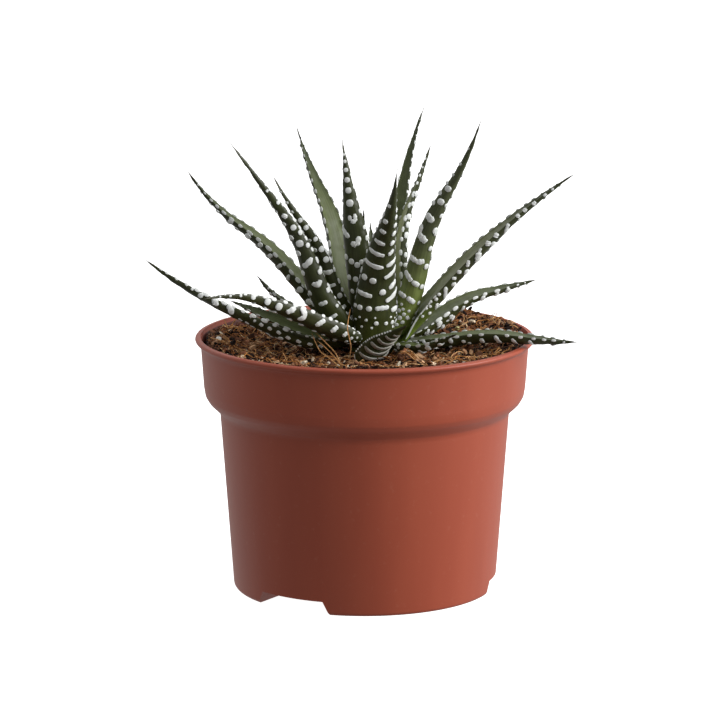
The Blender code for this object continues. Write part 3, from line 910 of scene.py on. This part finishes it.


# %% [markdown]
# The leaves in front carry a pattern that anyone would notice, so their warts are listed one
# by one, row by row from the tip down. The rest of the plant follows the rules above.

# %% Warts listed one by one
HAND_SET = {
    "leaf_front_centre": [
        (64.5, 0.60, 0.60), (62.5, -0.70, 0.80), (59.5, -0.60, 0.85), (58.0, 0.50, 0.85),
        (56.0, -0.50, 0.90), (53.6, 0.65, 53.0, 0.20, 0.80), (52.0, -0.45, 0.95),
        (48.3, 0.75, 47.5, 0.08, 0.78), (47.6, -0.38, 1.00), (43.2, 0.88, 42.3, 0.0, 0.78),
        (42.3, -0.18, 44.0, -0.50, 0.85), (37.8, 0.92, 36.6, -0.03, 0.80, 0.3),
        (37.4, -0.14, 38.8, -0.78, 0.88), (31.4, 0.68, 1.05), (30.8, 0.30, 1.10),
        (32.0, -0.10, 35.0, -0.85, 0.80), (25.2, 0.88, 24.3, 0.25, 0.82), (26.0, -0.08, 1.10),
        (27.2, -0.32, 29.4, -0.75, 0.92), (22.0, -0.20, 25.8, -0.92, 0.85), (19.5, 0.86, 0.65),
        (19.3, 0.62, 0.90), (19.2, 0.30, 0.95), (19.3, 0.12, 19.5, -0.32, 0.78),
        (18.0, -0.40, 18.3, -0.75, 0.90), (19.7, -0.92, 0.75), (14.5, 0.75, 0.40),
        (15.6, 0.58, 0.36), (14.6, 0.36, 0.50), (13.3, 0.06, 0.75), (13.0, -0.25, 0.65),
        (13.1, -0.50, 0.70), (13.3, -0.76, 0.55), (12.0, 0.55, 0.40), (11.6, 0.20, 0.42),
        (15.5, 0.10, 0.36), (15.3, -0.40, 0.40), (11.4, -0.60, 0.42), (16.2, -0.70, 0.40),
        (16.8, -0.88, 0.26), (15.0, -0.93, 0.28), (14.8, -0.80, 0.26), (12.0, -0.90, 0.30),
        (12.6, -0.72, 0.28), (14.6, -0.60, 0.30), (13.8, -0.95, 0.24),
    ],
    "leaf_right_tall": [
        (80.0, 0.90, 0.40), (73.5, 0.90, 0.55), (68.5, 0.95, 0.55), (64.6, 0.98, 0.60),
        (63.2, 0.50, 1.05), (60.0, 0.95, 0.78), (57.5, 0.42, 1.12), (56.5, -0.24, 0.72),
        (55.4, 0.95, 0.80), (52.0, -0.20, 0.82), (50.8, 0.95, 49.2, 0.26, 1.16),
        (46.4, 0.92, 42.6, 0.84, 0.88), (42.8, 0.84, 41.0, 0.24, 1.12, -0.2),
        (47.0, -0.14, 44.4, -0.16, 1.00), (39.4, -0.20, 37.4, -0.20, 0.88),
        (33.9, 0.98, 33.0, 0.45, 0.90), (32.7, 0.48, 33.6, 0.04, 0.92), (31.4, -0.20, 0.98),
        (28.2, 1.00, 25.4, 0.46, 0.84), (25.4, 0.42, 24.3, 0.02, 0.84), (23.8, -0.20, 0.85),
        (19.7, 0.96, 19.1, 0.50, 0.80), (19.2, 0.44, 17.6, 0.00, 0.84), (17.4, -0.30, 0.70),
        (14.6, 0.85, 0.55), (14.4, 0.46, 0.52), (14.2, 0.14, 0.50), (13.4, 0.66, 0.66),
        (12.6, 0.34, 0.62), (11.9, 0.92, 0.55), (12.0, 0.02, 11.2, 0.18, 0.80),
        (11.0, 0.50, 0.72), (10.2, 0.76, 0.55), (9.6, 0.26, 0.64), (8.8, 0.95, 0.50),
        (8.2, 0.55, 0.62), (16.0, 0.60, 0.46),
    ],
    "leaf_front_left": [
        (62.0, 0.95, 0.45), (58.0, 0.95, 0.50), (54.0, 0.95, 0.60), (60.0, -0.95, 0.42),
        (55.5, -0.95, 0.50), (51.0, -0.95, 0.55), (67.5, -0.30, 0.36), (65.0, -0.30, 0.55),
        (62.0, -0.30, 0.72), (58.5, -0.28, 0.85),
        (54.8, -0.26, 0.95), (50.3, -0.24, 1.15), (50.5, 0.85, 0.70), (46.8, -0.92, 0.75),
        (46.0, -0.10, 44.0, -0.12, 0.62), (43.8, -0.14, 43.6, -0.42, 0.70),
        (43.6, -0.42, 46.4, -0.46, 0.62), (45.0, 0.90, 0.70), (41.5, 0.62, 38.0, 0.05, 0.95),
        (40.8, -0.90, 0.72), (38.0, -0.92, 35.8, -0.92, 0.72), (36.2, -0.04, 35.0, -0.28, 0.90),
        (35.0, -0.30, 38.2, -0.48, 0.80), (33.5, 0.80, 0.70), (30.6, 0.40, 0.95),
        (29.3, 0.06, 0.98), (28.0, -0.20, 0.92), (28.9, -0.42, 0.80), (26.5, 0.85, 0.72),
        (23.2, 0.32, 0.90), (22.8, -0.05, 0.90), (23.0, -0.34, 0.85), (18.2, 0.20, 0.80),
        (17.6, -0.12, 17.4, -0.50, 0.75), (20.5, -0.80, 0.60), (13.0, 0.05, 0.50),
        (12.5, -0.40, 0.52),
    ],
    "leaf_left_tall": [
        (71.5, -0.55, 0.50), (67.0, 0.30, 0.60), (65.5, -0.75, 0.70), (62.5, 0.30, 0.70),
        (59.6, -0.18, 60.4, -0.60, 0.95), (57.0, 0.20, 0.85), (54.5, -0.50, 0.95),
        (51.5, -0.80, 0.85), (51.0, 0.18, 0.98), (48.0, -0.32, 1.20), (46.0, -0.82, 0.80),
        (44.4, 0.15, 1.00), (38.8, 0.12, 41.2, -0.68, 0.92, 0.3), (36.5, 0.30, 0.90),
        (35.5, -0.85, 0.90), (31.6, -0.15, 31.8, -0.66, 0.95, 1.0), (29.0, 0.22, 0.80),
        (28.0, -0.85, 0.90), (24.5, -0.04, 24.6, -0.50, 0.72), (21.0, -0.80, 0.60),
        (18.5, -0.20, 18.6, -0.55, 0.60),
    ],
    "leaf_right_long": [
        (81.6, 0.90, 80.4, 0.90, 0.38), (78.6, 0.90, 77.0, 0.90, 0.50),
        (73.8, 0.95, 72.2, 0.92, 0.62), (72.6, 0.40, 0.48), (69.8, 1.00, 68.2, 0.96, 0.66),
        (66.6, 1.00, 65.2, 0.95, 0.72), (65.2, 0.42, 0.68), (61.6, 1.00, 57.4, 0.24, 0.66),
        (56.6, 1.00, 54.8, 0.84, 0.80), (52.4, 1.00, 50.8, 0.80, 0.86),
        (53.3, 0.66, 51.5, 0.34, 0.88), (48.8, 1.00, 46.4, 0.84, 0.46),
        (47.0, 0.90, 43.6, 0.34, 1.10), (42.6, 1.00, 40.4, 0.74, 0.58),
        (39.5, 0.62, 37.4, 0.34, 0.88), (37.8, 0.98, 36.6, 0.86, 0.74),
        (34.8, 0.92, 33.8, 0.84, 0.72),
        (33.0, 0.70, 31.8, 0.54, 0.88), (30.0, 0.92, 24.8, 0.20, 0.70), (26.4, 0.92, 0.60),
        (24.4, 0.86, 0.60), (23.2, 0.64, 20.8, 0.34, 0.66), (22.6, 1.00, 0.45),
        (21.0, 0.86, 0.50), (19.6, 0.95, 0.45), (18.6, 0.60, 0.62), (16.4, 0.84, 0.52),
        (15.6, 0.36, 0.45), (6.0, 1.00, 21.0, 1.00, 0.24),
    ],
    "leaf_left_low": [
        (69.0, -0.85, 0.50), (65.2, -0.70, 0.85), (60.4, -0.98, 58.2, -0.48, 0.95, 0.5),
        (54.2, -0.98, 51.6, -0.40, 0.92, 0.9), (45.6, -0.90, 0.45), (43.6, -0.74, 0.48),
        *[(at + 0.8, -0.72, at - 0.8, -0.64, 0.56) for at in (40.8, 37.4, 33.8)],
        *[(at + 0.9, -0.62, at - 0.9, -0.54, 0.60) for at in (29.8, 25.8, 21.6, 17.6)],
        *[(at + 0.9, -0.34, at - 0.9, -0.26, 0.36) for at in (48.0, 45.2)],
        *[(at + 1.0, -0.16, at - 1.0, -0.14, 0.40) for at in (42.6, 39.6, 36.4, 32.6, 28.0)],
        (31.8, -0.30, 0.88), (24.4, -0.24, 0.60), (20.0, -0.20, 0.60),
    ],
    "leaf_left_arched": [
        (70.0, -0.60, 0.36), (66.0, -0.70, 0.42), (62.0, -0.80, 0.50), (57.0, -0.78, 0.88),
        (51.0, -0.68, 1.10), (46.0, -0.58, 1.22), (39.6, -0.86, 42.0, -0.36, 1.00),
        (35.4, -0.96, 34.2, -0.24, 0.96, 2.2), (26.4, -0.84, 28.6, -0.34, 0.90),
        (20.4, -0.78, 21.6, -0.38, 0.86), (15.5, -0.70, 16.2, -0.40, 0.75),
        (55.0, 0.10, 0.62), (50.0, 0.12, 0.72), (45.5, 0.12, 0.78),
        (38.6, 0.14, 37.0, 0.20, 0.80),
        (32.8, 0.10, 31.6, 0.24, 0.85), (26.0, 0.16, 0.78), (22.0, 0.10, 0.68), (17.0, 0.0, 0.60),
        (12.6, -0.82, 0.50), (12.4, -0.50, 0.62), (13.0, -0.20, 0.60), (10.4, -0.66, 0.40),
        (10.0, -0.34, 0.46), (10.8, -0.04, 0.50), (8.2, -0.74, 0.34), (8.0, -0.46, 0.36),
        (7.6, -0.20, 0.40), (8.6, 0.08, 0.40), (6.4, -0.56, 0.30), (6.0, -0.30, 0.30),
    ],
    "leaf_right_low": [
        (64.0, 0.75, 0.35),
        *[(at + 0.8, 0.98, at - 0.8, 0.98, 0.40) for at in (60.5, 57.2, 53.6)],
        *[(at + 0.9, 0.98, at - 0.9, 0.98, 0.46) for at in (49.0, 44.2, 35.2, 31.0, 26.4, 22.2)],
        (52.0, 0.80, 53.2, 0.28, 0.60), (46.0, 0.80, 47.6, 0.24, 0.62),
        (40.0, 0.94, 41.8, 0.18, 0.72), (35.0, 0.74, 35.2, 0.36, 0.74), (30.2, 0.42, 0.62),
        (28.4, 0.64, 0.66), (24.0, 0.78, 0.76), (23.0, 0.30, 0.60), (18.2, 0.76, 0.72),
        (18.4, 0.30, 0.56), (14.4, 0.90, 0.50), (13.2, 0.50, 0.56), (9.6, 0.80, 0.42),
    ],
    "leaf_front_small": [
        (24.0, -0.30, 24.2, 0.45, 0.46), (21.4, -0.75, 21.4, 0.75, 0.62, 0.8),
        (18.4, -0.80, 18.4, 0.80, 0.72, 1.0), (15.2, -0.82, 15.2, 0.82, 0.80, 1.2),
        (12.0, -0.85, 12.0, 0.85, 0.80, 1.3), (8.8, -0.85, 8.8, 0.85, 0.72, 1.3),
        *[(at + 0.35, edge, 0.30) for at in range(9, 25) for edge in (-0.99, 0.99)],
    ],
}
# On these leaves the rules cover only what the listed warts leave free, from left to right.
NOWHERE = (2, 2)
FREE_SIDES = {
    "leaf_front_centre": NOWHERE,
    "leaf_right_tall": (-1, -0.32),
    "leaf_front_left": NOWHERE,
    "leaf_left_tall": (0.42, 1),
    "leaf_right_long": (-1, 0.05),
    "leaf_left_low": (0.05, 1),
    "leaf_left_arched": (0.35, 1),
    "leaf_right_low": (-1, 0.0),
    "leaf_front_small": NOWHERE,
}
# Along these edges the beads are among the listed warts.
EDGES_BY_HAND = {
    "leaf_right_low": (RIGHT,),
    "leaf_right_long": (RIGHT,),
    "leaf_right_tall": (RIGHT,),
    "leaf_front_left": (LEFT, RIGHT),
    "leaf_front_small": (LEFT, RIGHT),
}
# A wart is a bar if it runs this far across, or this many half widths along.
BAR_ACROSS, BAR_ALONG = 0.02, 2.2


def warts_of(name, blade, dice):
    """All the warts of a leaf, as bars and dots."""
    free_low, free_high = FREE_SIDES.get(name, (LEFT, RIGHT))
    grown = row_warts(blade, dice, CLOSE_ROWS.get(name, 1.0)) + speckles(blade, dice)
    warts = [
        w for w in grown
        if free_low <= min(w.across, w.across_end) and max(w.across, w.across_end) <= free_high
    ]
    warts += [wart(*row) for row in HAND_SET.get(name, [])]
    bars = [
        w for w in warts
        if abs(w.across_end - w.across) > BAR_ACROSS
        or w.along_end - w.along > BAR_ALONG * w.half
    ]
    dots = [w for w in warts if w not in bars]
    dots += edge_teeth(blade, dice, EDGES_BY_HAND.get(name, ()))
    return bars, dots


print("leaves with warts set by hand:", len(HAND_SET))

# %% [markdown]
# Tubercle tissue is hard, dead and full of air, so it is chalky white with a soft gloss
# and slightly uneven. Like the stem and the grains further on, it wavers between two
# tones, so one function makes the material of all of them.

# %% Tubercle material
def two_toned(name, shade, tint, patch, detail=2.0, bump=0.0, **sockets):
    """A material that wavers between two tones in patches of so many mm, with a bump of so
    many mm that follows them."""
    material, tree, shader = new_material(name, **sockets)
    place = add_node(tree, "ShaderNodeTexCoord", {}).outputs["Object"]
    cloud = add_node(
        tree, "ShaderNodeTexNoise", {"Vector": place, "Scale": 1 / (patch * MM), "Detail": detail}
    ).outputs["Fac"]
    tone = add_node(
        tree, "ShaderNodeMix", {0: cloud, 6: linear(shade), 7: linear(tint)}, data_type="RGBA"
    )
    tree.links.new(tone.outputs[2], shader.inputs["Base Color"])
    if bump:
        relief = add_node(
            tree, "ShaderNodeBump", {"Height": cloud, "Strength": 0.5, "Distance": bump * MM}
        )
        tree.links.new(relief.outputs[0], shader.inputs["Normal"])
    return material


TISSUE = {"patch": 1.5, "detail": 3.0, "Roughness": 0.5, "IOR": 1.45}
wart_white = two_toned("white_tubercle", "#d8dcd9", "#f6f8f6", **TISSUE)
# On the small rooted leaf the bands are a duller grey than elsewhere, though not the beads.
wart_dull = two_toned("dull_tubercle", "#85827a", "#b3b0a8", **TISSUE)
DULL_BARS = "leaf_front_small"
print("tubercle materials:", wart_white.name, "and", wart_dull.name)

# %% Tubercles
WART_SEED = 11
total = 0
for number, (name, blade) in enumerate(sorted(blades.items())):
    dice = Random(WART_SEED + number)
    bars, dots = warts_of(name, blade, dice)
    shapes = [draped(blade, dots, DOT, dice, DOT_BLUNT, DOT_PROUD)]
    if bars:
        shapes.append(draped(blade, bars, BAR, dice, BAR_BLUNT, BAR_PROUD, BAR_BEADED))
    points, faces = joined(shapes)
    piece = mesh_piece(name + "_tubercles", points.tolist(), faces, wart_white)
    if name == DULL_BARS:
        piece.data.materials.append(wart_dull)
        for face in list(piece.data.polygons)[len(shapes[0][1]) :]:
            face.material_index = 1
    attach(piece, "root")
    total += len(bars) + len(dots)
print("tubercles:", total)

# %% [markdown]
# ## Potting mix
# The mix is chopped coir with bark, loosely heaped. Its body is the CAD solid. Over it
# lies a crust: a disc of rings whose points are lifted by noise, crumbs of a few shapes
# scattered on it, and curled fibres. Particles could be scattered by a hair system, but
# plain copies keep the script short and the same on every run.

# %% How high the mix stands
CROWN = stem_middle[:2] / MM
MIX_LEVEL, MIX_TILT, MIX_TILT_AZIMUTH, DISH_DEPTH, DISH_RADIUS = 86.8, 2.2, 45.0, 1.6, 20.0
MIX_RADIUS = 56.0
LOOSE = 0.4  # the crust stands this far above the CAD body, give or take its lumps
# Spacing, height and slice of noise of the clods and of the grains on them, in mm
LUMPS = ((8, 1.3, 1.7), (2.4, 1.0, 5.2))
# The mix is heaped up to the lip at one side, between these shares of its radius.
HEAP_AZIMUTH, HEAP_HEIGHT, HEAP_FROM = radians(35), 1.6, (0.3, 0.95)
# It is banked against the wall at the left and in front. The bank grows between these
# distances from the axis, and fades out between these towards the back, in mm.
BANK_HEIGHT, BANK_FROM, BANK_FADES = 4.0, (40, 55), (8, 32)
BANK_TURNS = (-0.3, 0.3)  # and between these shares of the radius towards the heap
CLOD_AT, CLOD_RADIUS, CLOD_HEIGHT = (14.5, -30.0), 3.6, 3.4  # one big clod by the small leaf


def mound(x, y, middle, radius):
    """A smooth mound: 1 in the middle, and about a third at its radius."""
    return exp(-((hypot(x - middle[0], y - middle[1]) / radius) ** 2))


def mix_height(x, y):
    """Height of the mix in mm, as in the CAD body."""
    towards = x * cos(radians(MIX_TILT_AZIMUTH)) + y * sin(radians(MIX_TILT_AZIMUTH))
    dish = DISH_DEPTH * mound(x, y, CROWN, DISH_RADIUS)
    return MIX_LEVEL + MIX_TILT * towards / LIP_RADIUS - dish


def crust_height(x, y):
    """Height of the crust of loose mix in mm, with its clods, heap and bank."""
    (broad, clods, low), (fine, grains, high) = LUMPS
    clods *= noise.noise(Vector((x / broad, y / broad, low)))
    grains *= noise.noise(Vector((x / fine, y / fine, high)))
    towards = (x * cos(HEAP_AZIMUTH) + y * sin(HEAP_AZIMUTH)) / MIX_RADIUS
    heap = HEAP_HEIGHT * float(np.interp(towards, HEAP_FROM, (0, 1)))
    bank = np.interp(hypot(x, y), BANK_FROM, (0, 1)) * np.interp(towards, BANK_TURNS, (1, 0))
    bank *= np.interp(y, BANK_FADES, (1, 0))
    clod = CLOD_HEIGHT * mound(x, y, CLOD_AT, CLOD_RADIUS)
    return mix_height(x, y) + (LOOSE + clods + grains + heap + BANK_HEIGHT * float(bank) + clod)


print("mix heights:", *(round(crust_height(x, 0), 1) for x in (-50, 0, 50)))

# %% The crust
CRUST_DEPTH = 2.5  # how far it reaches down into the CAD body
CRUST_STEPS, RING_GAP, LAST_RING = 220, 1.1, 1.6
# The crust's tone is kept low, so the gaps between crumbs are dark with painted shade, and it
# wavers in patches.
CRUST_SHADED_TONE, CRUST_UNEVEN, CRUST_PATCH = 0.18, 0.6, 1.2  # the patches are in mm

radii = [MIX_RADIUS - 8, MIX_RADIUS - 0.8, MIX_RADIUS]  # the underside, then the rim
while radii[-1] > LAST_RING:
    radii.append(radii[-1] - RING_GAP)
levels = [0, 0] + [MIX_LEVEL] * (len(radii) - 2)
crust = turned("mix_crust", [Step(*step) for step in zip(radii, levels)], CRUST_STEPS)
for vert in crust.data.vertices:
    x, y = vert.co.x / MM, vert.co.y / MM
    on_top = vert.co.z > 1 * MM
    vert.co.z = (crust_height(x, y) if on_top else mix_height(x, y) - CRUST_DEPTH) * MM
activate(crust)
bpy.ops.object.shade_smooth_by_angle(angle=radians(50))
crust_tones = [
    CRUST_SHADED_TONE + CRUST_UNEVEN * noise.noise(v.co / (CRUST_PATCH * MM))
    for v in crust.data.vertices
]
crust.data.attributes.new("tone", "FLOAT", "POINT").data.foreach_set("value", crust_tones)
print("crust points:", len(crust_tones))

# %% Crumbs
CRUMB_SEED = 5
CRUMB_REACH, CRUMBS_WITHIN = 55.6, 56.2  # their middles and edges, from the axis, in mm
CROWN_CLEAR = 9.0  # no crumbs lie nearer the crown than this, in mm
# Piece, roundness, how many, the smallest and largest in mm, and how rare the large ones are
CRUMB_SETS = (
    ("mix_crumbs", 2, 1500, 0.6, 1.9, 2.6),
    ("mix_fines", 1, 8500, 0.22, 0.75, 1.6),
)
CRUMB_FORMS = 8
DARKER = 1.6  # over 1, more crumbs are dark than pale
dice = Random(CRUMB_SEED)


def crumb_form(roundness):
    """A crumb shape, knocked out of round."""
    deselect()
    bpy.ops.mesh.primitive_ico_sphere_add(subdivisions=roundness, radius=1)
    points, faces = shape_of(start_piece("crumb"))
    points *= np.array([[dice.uniform(0.6, 1.15)] for _ in points])
    points *= np.array([dice.uniform(1.0, 1.6), dice.uniform(0.5, 0.9), dice.uniform(0.4, 0.7)])
    return points, faces


def scattered(forms, places):
    """Copies of forms in turn, each sized, turned and set down. places: (centre, size, turn)."""
    copies = []
    for i, (centre, size, turn) in enumerate(places):
        points, faces = forms[i % len(forms)]
        matrix = np.array(Euler(turn).to_matrix())
        copies.append(((points @ matrix.T * size + centre) * MM, faces))
    return joined(copies)


def strewn(count, smallest, largest, rare):
    """Places for crumbs all over the mix, most of them small."""
    places = []
    while len(places) < count:
        reach, azimuth = CRUMB_REACH * dice.random() ** 0.5, dice.uniform(0, 2 * pi)
        x, y = reach * cos(azimuth), reach * sin(azimuth)
        size = smallest + (largest - smallest) * dice.random() ** rare
        if hypot(x - CROWN[0], y - CROWN[1]) < CROWN_CLEAR or reach + size > CRUMBS_WITHIN:
            continue
        z = crust_height(x, y) + size * dice.uniform(-0.1, 0.5)
        turn = (dice.uniform(-0.9, 0.9), dice.uniform(-0.9, 0.9), dice.uniform(0, 2 * pi))
        places.append((np.array((x, y, z)), size, turn))
    return places


crumb_sets = []
for title, roundness, *spread in CRUMB_SETS:
    forms = [crumb_form(roundness) for _ in range(CRUMB_FORMS)]
    places = strewn(*spread)
    points, faces = scattered(forms, places)
    tones = np.repeat([dice.random() ** DARKER for _ in places], len(forms[0][0]))
    crumb_sets.append((title, points, faces, tones))
    print(title + ":", len(places))

# %% Fibres
FIBRE_COUNT = 1000
FIBRE_LENGTHS, FIBRE_RADII, FIBRE_ARCHES = (4, 16), (0.09, 0.21), (0.4, 2.0)  # in mm
FIBRE_REACH, FIBRES_WITHIN = 54, 55.5  # where they start and stay, from the axis, in mm
FIBRE_DIP = 0.3  # how deep the lowest ends lie in the mix, in mm
TURN_BACK = 1.2  # how far a fibre turns at the wall, in radians
FIBRE_SIDES, FIBRE_STEPS, STRAW_STEPS = 4, 11, 13
TAPER = (0, 0.15, 0.8, 1), (0.3, 1, 0.8, 0.2)  # thickness along a fibre, as shares
ASIDE = (0.3, 0.2, 1.0)  # a direction that no fibre runs along


def fibre_tube(path, radius):
    """A thin tapering tube along a path, all in mm."""
    sides = FIBRE_SIDES
    ahead = unit(np.gradient(path, axis=0))
    beside = unit(np.cross(ahead, ASIDE))
    above = np.cross(beside, ahead)
    taper = radius * np.interp(np.linspace(0, 1, len(path)), *TAPER)
    turn = np.arange(sides) * 2 * pi / sides
    points = path[:, None] + taper[:, None, None] * (
        beside[:, None] * np.cos(turn)[None, :, None] + above[:, None] * np.sin(turn)[None, :, None]
    )
    faces = [list(range(sides))[::-1], [len(path) * sides - sides + k for k in range(sides)]]
    for i in range(len(path) - 1):
        for k in range(sides):
            n = (k + 1) % sides
            faces.append([i * sides + k, i * sides + n, (i + 1) * sides + n, (i + 1) * sides + k])
    return points.reshape(-1, 3) * MM, faces


def wandering_path(x, y, length):
    """A curled path that stays near the mix's surface."""
    heading, curl = dice.uniform(0, 2 * pi), dice.uniform(-0.45, 0.45)
    arch, points = dice.uniform(*FIBRE_ARCHES), []
    for i in range(FIBRE_STEPS):
        share = i / (FIBRE_STEPS - 1)
        z = crust_height(x, y) - FIBRE_DIP + arch * sin(pi * share) + dice.uniform(0, FIBRE_DIP)
        points.append((x, y, z))
        heading += curl + dice.uniform(-0.25, 0.25)
        x += cos(heading) * length / FIBRE_STEPS
        y += sin(heading) * length / FIBRE_STEPS
        if hypot(x, y) > FIBRES_WITHIN:
            x, y = points[-1][:2]
            heading += TURN_BACK
    return np.array(points)


tubes, tube_tones = [], []
for _ in range(FIBRE_COUNT):
    reach, azimuth = FIBRE_REACH * dice.random() ** 0.5, dice.uniform(0, 2 * pi)
    x, y = reach * cos(azimuth), reach * sin(azimuth)
    path = wandering_path(x, y, dice.uniform(*FIBRE_LENGTHS))
    tubes.append(fibre_tube(path, dice.uniform(*FIBRE_RADII)))
    tube_tones.append(dice.random())
# Stiffer straws and one root stand clear of the mix. Each has a radius and a route, in mm,
# whose height is above the mix. The straws lean on the leaves behind them.
STRAWS = [
    (0.26, (-8.0, -44.0, 0.6), (-12.0, -36.0, 3.6), (-15.6, -29.0, 4.8), (-18.4, -22.0, 10.1)),
    (0.24, (-8.0, -37.0, 0.2), (-9.8, -33.0, 4.2), (-13.4, -27.5, 7.2), (-17.0, -22.0, 9.8)),
    (0.24, (-7.5, -38.5, 0.3), (-10.2, -33.5, 3.6), (-13.6, -28.0, 5.6), (-16.6, -23.0, 7.2)),
    (0.22, (-4.6, -43.5, 0.6), (-7.0, -41.0, 1.6), (-9.2, -37.5, 2.2), (-9.8, -35.0, 0.3)),
    (0.22, (-5.6, -25.5, -0.4), (-4.8, -25.0, 5.0), (-6.0, -24.0, 11.0), (-5.0, -22.5, 18.0)),
    (0.22, (-48.6, 21.0, 0.0), (-49.6, 21.4, 1.8), (-50.6, 22.0, 4.6)),
    (0.24, (-48.6, 21.0, 0.0), (-47.4, 21.2, 2.2), (-45.4, 21.8, 4.8)),
    (0.24, (-26.5, -27.0, 0.3), (-27.3, -25.5, 2.0), (-28.6, -24.0, 4.4)),
    (0.20, (-30.0, -22.0, 0.2), (-29.4, -24.0, 1.6), (-29.0, -27.0, 0.2)),
    (0.20, (20.0, -36.0, 0.0), (17.0, -33.5, 2.2), (13.0, -32.0, 2.6), (9.0, -32.5, 0.4)),
]
STRAW_TONE = 0.72
for radius, *route in STRAWS:
    route = np.array([(x, y, crust_height(x, y) + up) for x, y, up in route])
    path = smooth_through(route, np.linspace(0, len(route) - 1, STRAW_STEPS))
    tubes.append(fibre_tube(path, radius))
    tube_tones.append(STRAW_TONE)
print("fibres:", len(tubes))

# %% [markdown]
# Coir is brown and dull, each crumb a little different. The gaps between crumbs are dark
# because the crust below them has low tones, which is painted shade. Each crumb and fibre
# carries a number of its own, its tone, and the material turns that into a shade between
# wet bark and dry husk.

# %% Mix materials
def coir_material(name, dark, middle, pale, dusty):
    """Coir whose shade follows the tone of each crumb, with grain 0.8 mm across."""
    coir, tree, shader = new_material(name, Roughness=0.9, Specular_IOR_Level=0.2)
    place = add_node(tree, "ShaderNodeTexCoord", {}).outputs["Object"]
    tone = add_node(tree, "ShaderNodeAttribute", {}, attribute_name="tone").outputs["Fac"]
    fine = add_node(
        tree, "ShaderNodeTexNoise", {"Vector": place, "Scale": 1 / (0.8 * MM), "Detail": 4.0}
    ).outputs["Fac"]
    mixed = linear(dark)
    for low, high, colour in ((0.12, 0.5, middle), (0.6, 0.8, pale), (0.88, 1.0, dusty)):
        step = add_node(tree, "ShaderNodeMapRange", {0: tone, 1: low, 2: high})
        mixed = add_node(
            tree, "ShaderNodeMix", {0: step.outputs[0], 6: mixed, 7: linear(colour)},
            data_type="RGBA",
        ).outputs[2]
    shade = add_node(tree, "ShaderNodeMapRange", {0: fine, 1: 0.3, 2: 0.7, 3: 0.5, 4: 1.35})
    final = add_node(
        tree, "ShaderNodeMix", {0: 1.0, 6: mixed, 7: shade.outputs[0]},
        data_type="RGBA", blend_type="MULTIPLY",
    )
    tree.links.new(final.outputs[2], shader.inputs["Base Color"])
    bump = add_node(
        tree, "ShaderNodeBump", {"Height": fine, "Strength": 0.7, "Distance": 0.3 * MM}
    )
    tree.links.new(bump.outputs[0], shader.inputs["Normal"])
    return coir


coir_mix = coir_material("chopped_coir", "#1c0e08", "#966448", "#c9a07a", "#f0e2c8")
coir_straw = coir_material("coir_fibre", "#74441f", "#b07843", "#d6a571", "#efd3a6")

crust.data.materials.append(coir_mix)
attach(crust, "root")
for title, points, faces, tones in crumb_sets:
    crumbs = mesh_piece(title, points.tolist(), faces, coir_mix, crease=35.0, tones=tones)
    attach(crumbs, "root")
points, faces = joined(tubes)
tones = np.repeat(tube_tones, [len(tube) for tube, _ in tubes])
fibres = mesh_piece("coir_fibres", points.tolist(), faces, coir_straw, crease=80.0, tones=tones)
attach(fibres, "root")


def dress(node, material):
    """Gives a CAD body that stays in sight its material."""
    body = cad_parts[node]
    body.data.materials.clear()
    body.data.materials.append(material)


dress("potting_mix", coir_mix)
print("coir materials:", coir_mix.name, "and", coir_straw.name)

# %% [markdown]
# ## Stem, perlite and prills
# The stem hides among the leaf bases. Perlite is volcanic glass puffed up like popcorn,
# and the prills are fertiliser in a resin coat. Their CAD bodies are coarse, so finer
# ones stand for them, sized from their boxes.

# %% Stem
dress("stem", two_toned("stem_tissue_green", "#4a4f22", "#6c7a35", patch=3, Roughness=0.6))
print("stem dressed")

# %% Grains
MATT = {"patch": 0.5, "bump": 0.1, "Roughness": 0.9}
WAXED = {"patch": 0.9, "bump": 0.1, "Roughness": 0.35}
perlite = two_toned("puffed_perlite", "#b7a88e", "#f0e8d8", **MATT)
resin = two_toned("prill_resin_coat", "#a39a58", "#cfc88c", **WAXED)
white_resin = two_toned("prill_white_coat", "#d9d7cf", "#f2f1ec", **WAXED)
WHITE_PRILL_LEFT_OF = -0.04  # the prill on this side of the pot, in metres, has a white coat
# A grain's middle is lifted this far clear of the crust, but by no more than this, in mm.
CLEAR, MOST_LIFT = 1.0, 4.6
KNOBBLY, SMOOTH = 0.16, 0.03  # how uneven perlite and prills are, as shares of their size
UNLIKE = 900  # sets the grains' noise far apart
for name in sorted(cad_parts):
    puffed = name.startswith("perlite")
    if not puffed and not name.startswith("fertiliser"):
        continue
    low, high = (np.array(corner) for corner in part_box(name))
    x, y, z = (low + high) / 2 / MM
    lift = np.array((0, 0, min(max(crust_height(x, y) - z + CLEAR, 0), MOST_LIFT) * MM))
    low, high = low + lift, high + lift
    deselect()
    bpy.ops.mesh.primitive_ico_sphere_add(subdivisions=3, radius=1)
    grain = start_piece(name + "_fine")
    for vert in grain.data.vertices:
        bulge = noise.noise(vert.co * 2 + Vector(low) * UNLIKE)
        vert.co *= 1 + (KNOBBLY if puffed else SMOOTH) * bulge
        vert.co = Vector((low + high) / 2 + np.array(vert.co) * (high - low) / 2)
    bpy.ops.object.shade_smooth_by_angle(angle=radians(40))
    coat = white_resin if high[0] < WHITE_PRILL_LEFT_OF else resin
    grain.data.materials.append(perlite if puffed else coat)
    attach(grain, "root")
    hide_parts(name)
    print(grain.name, "lifted", round(lift[2] / MM, 2))
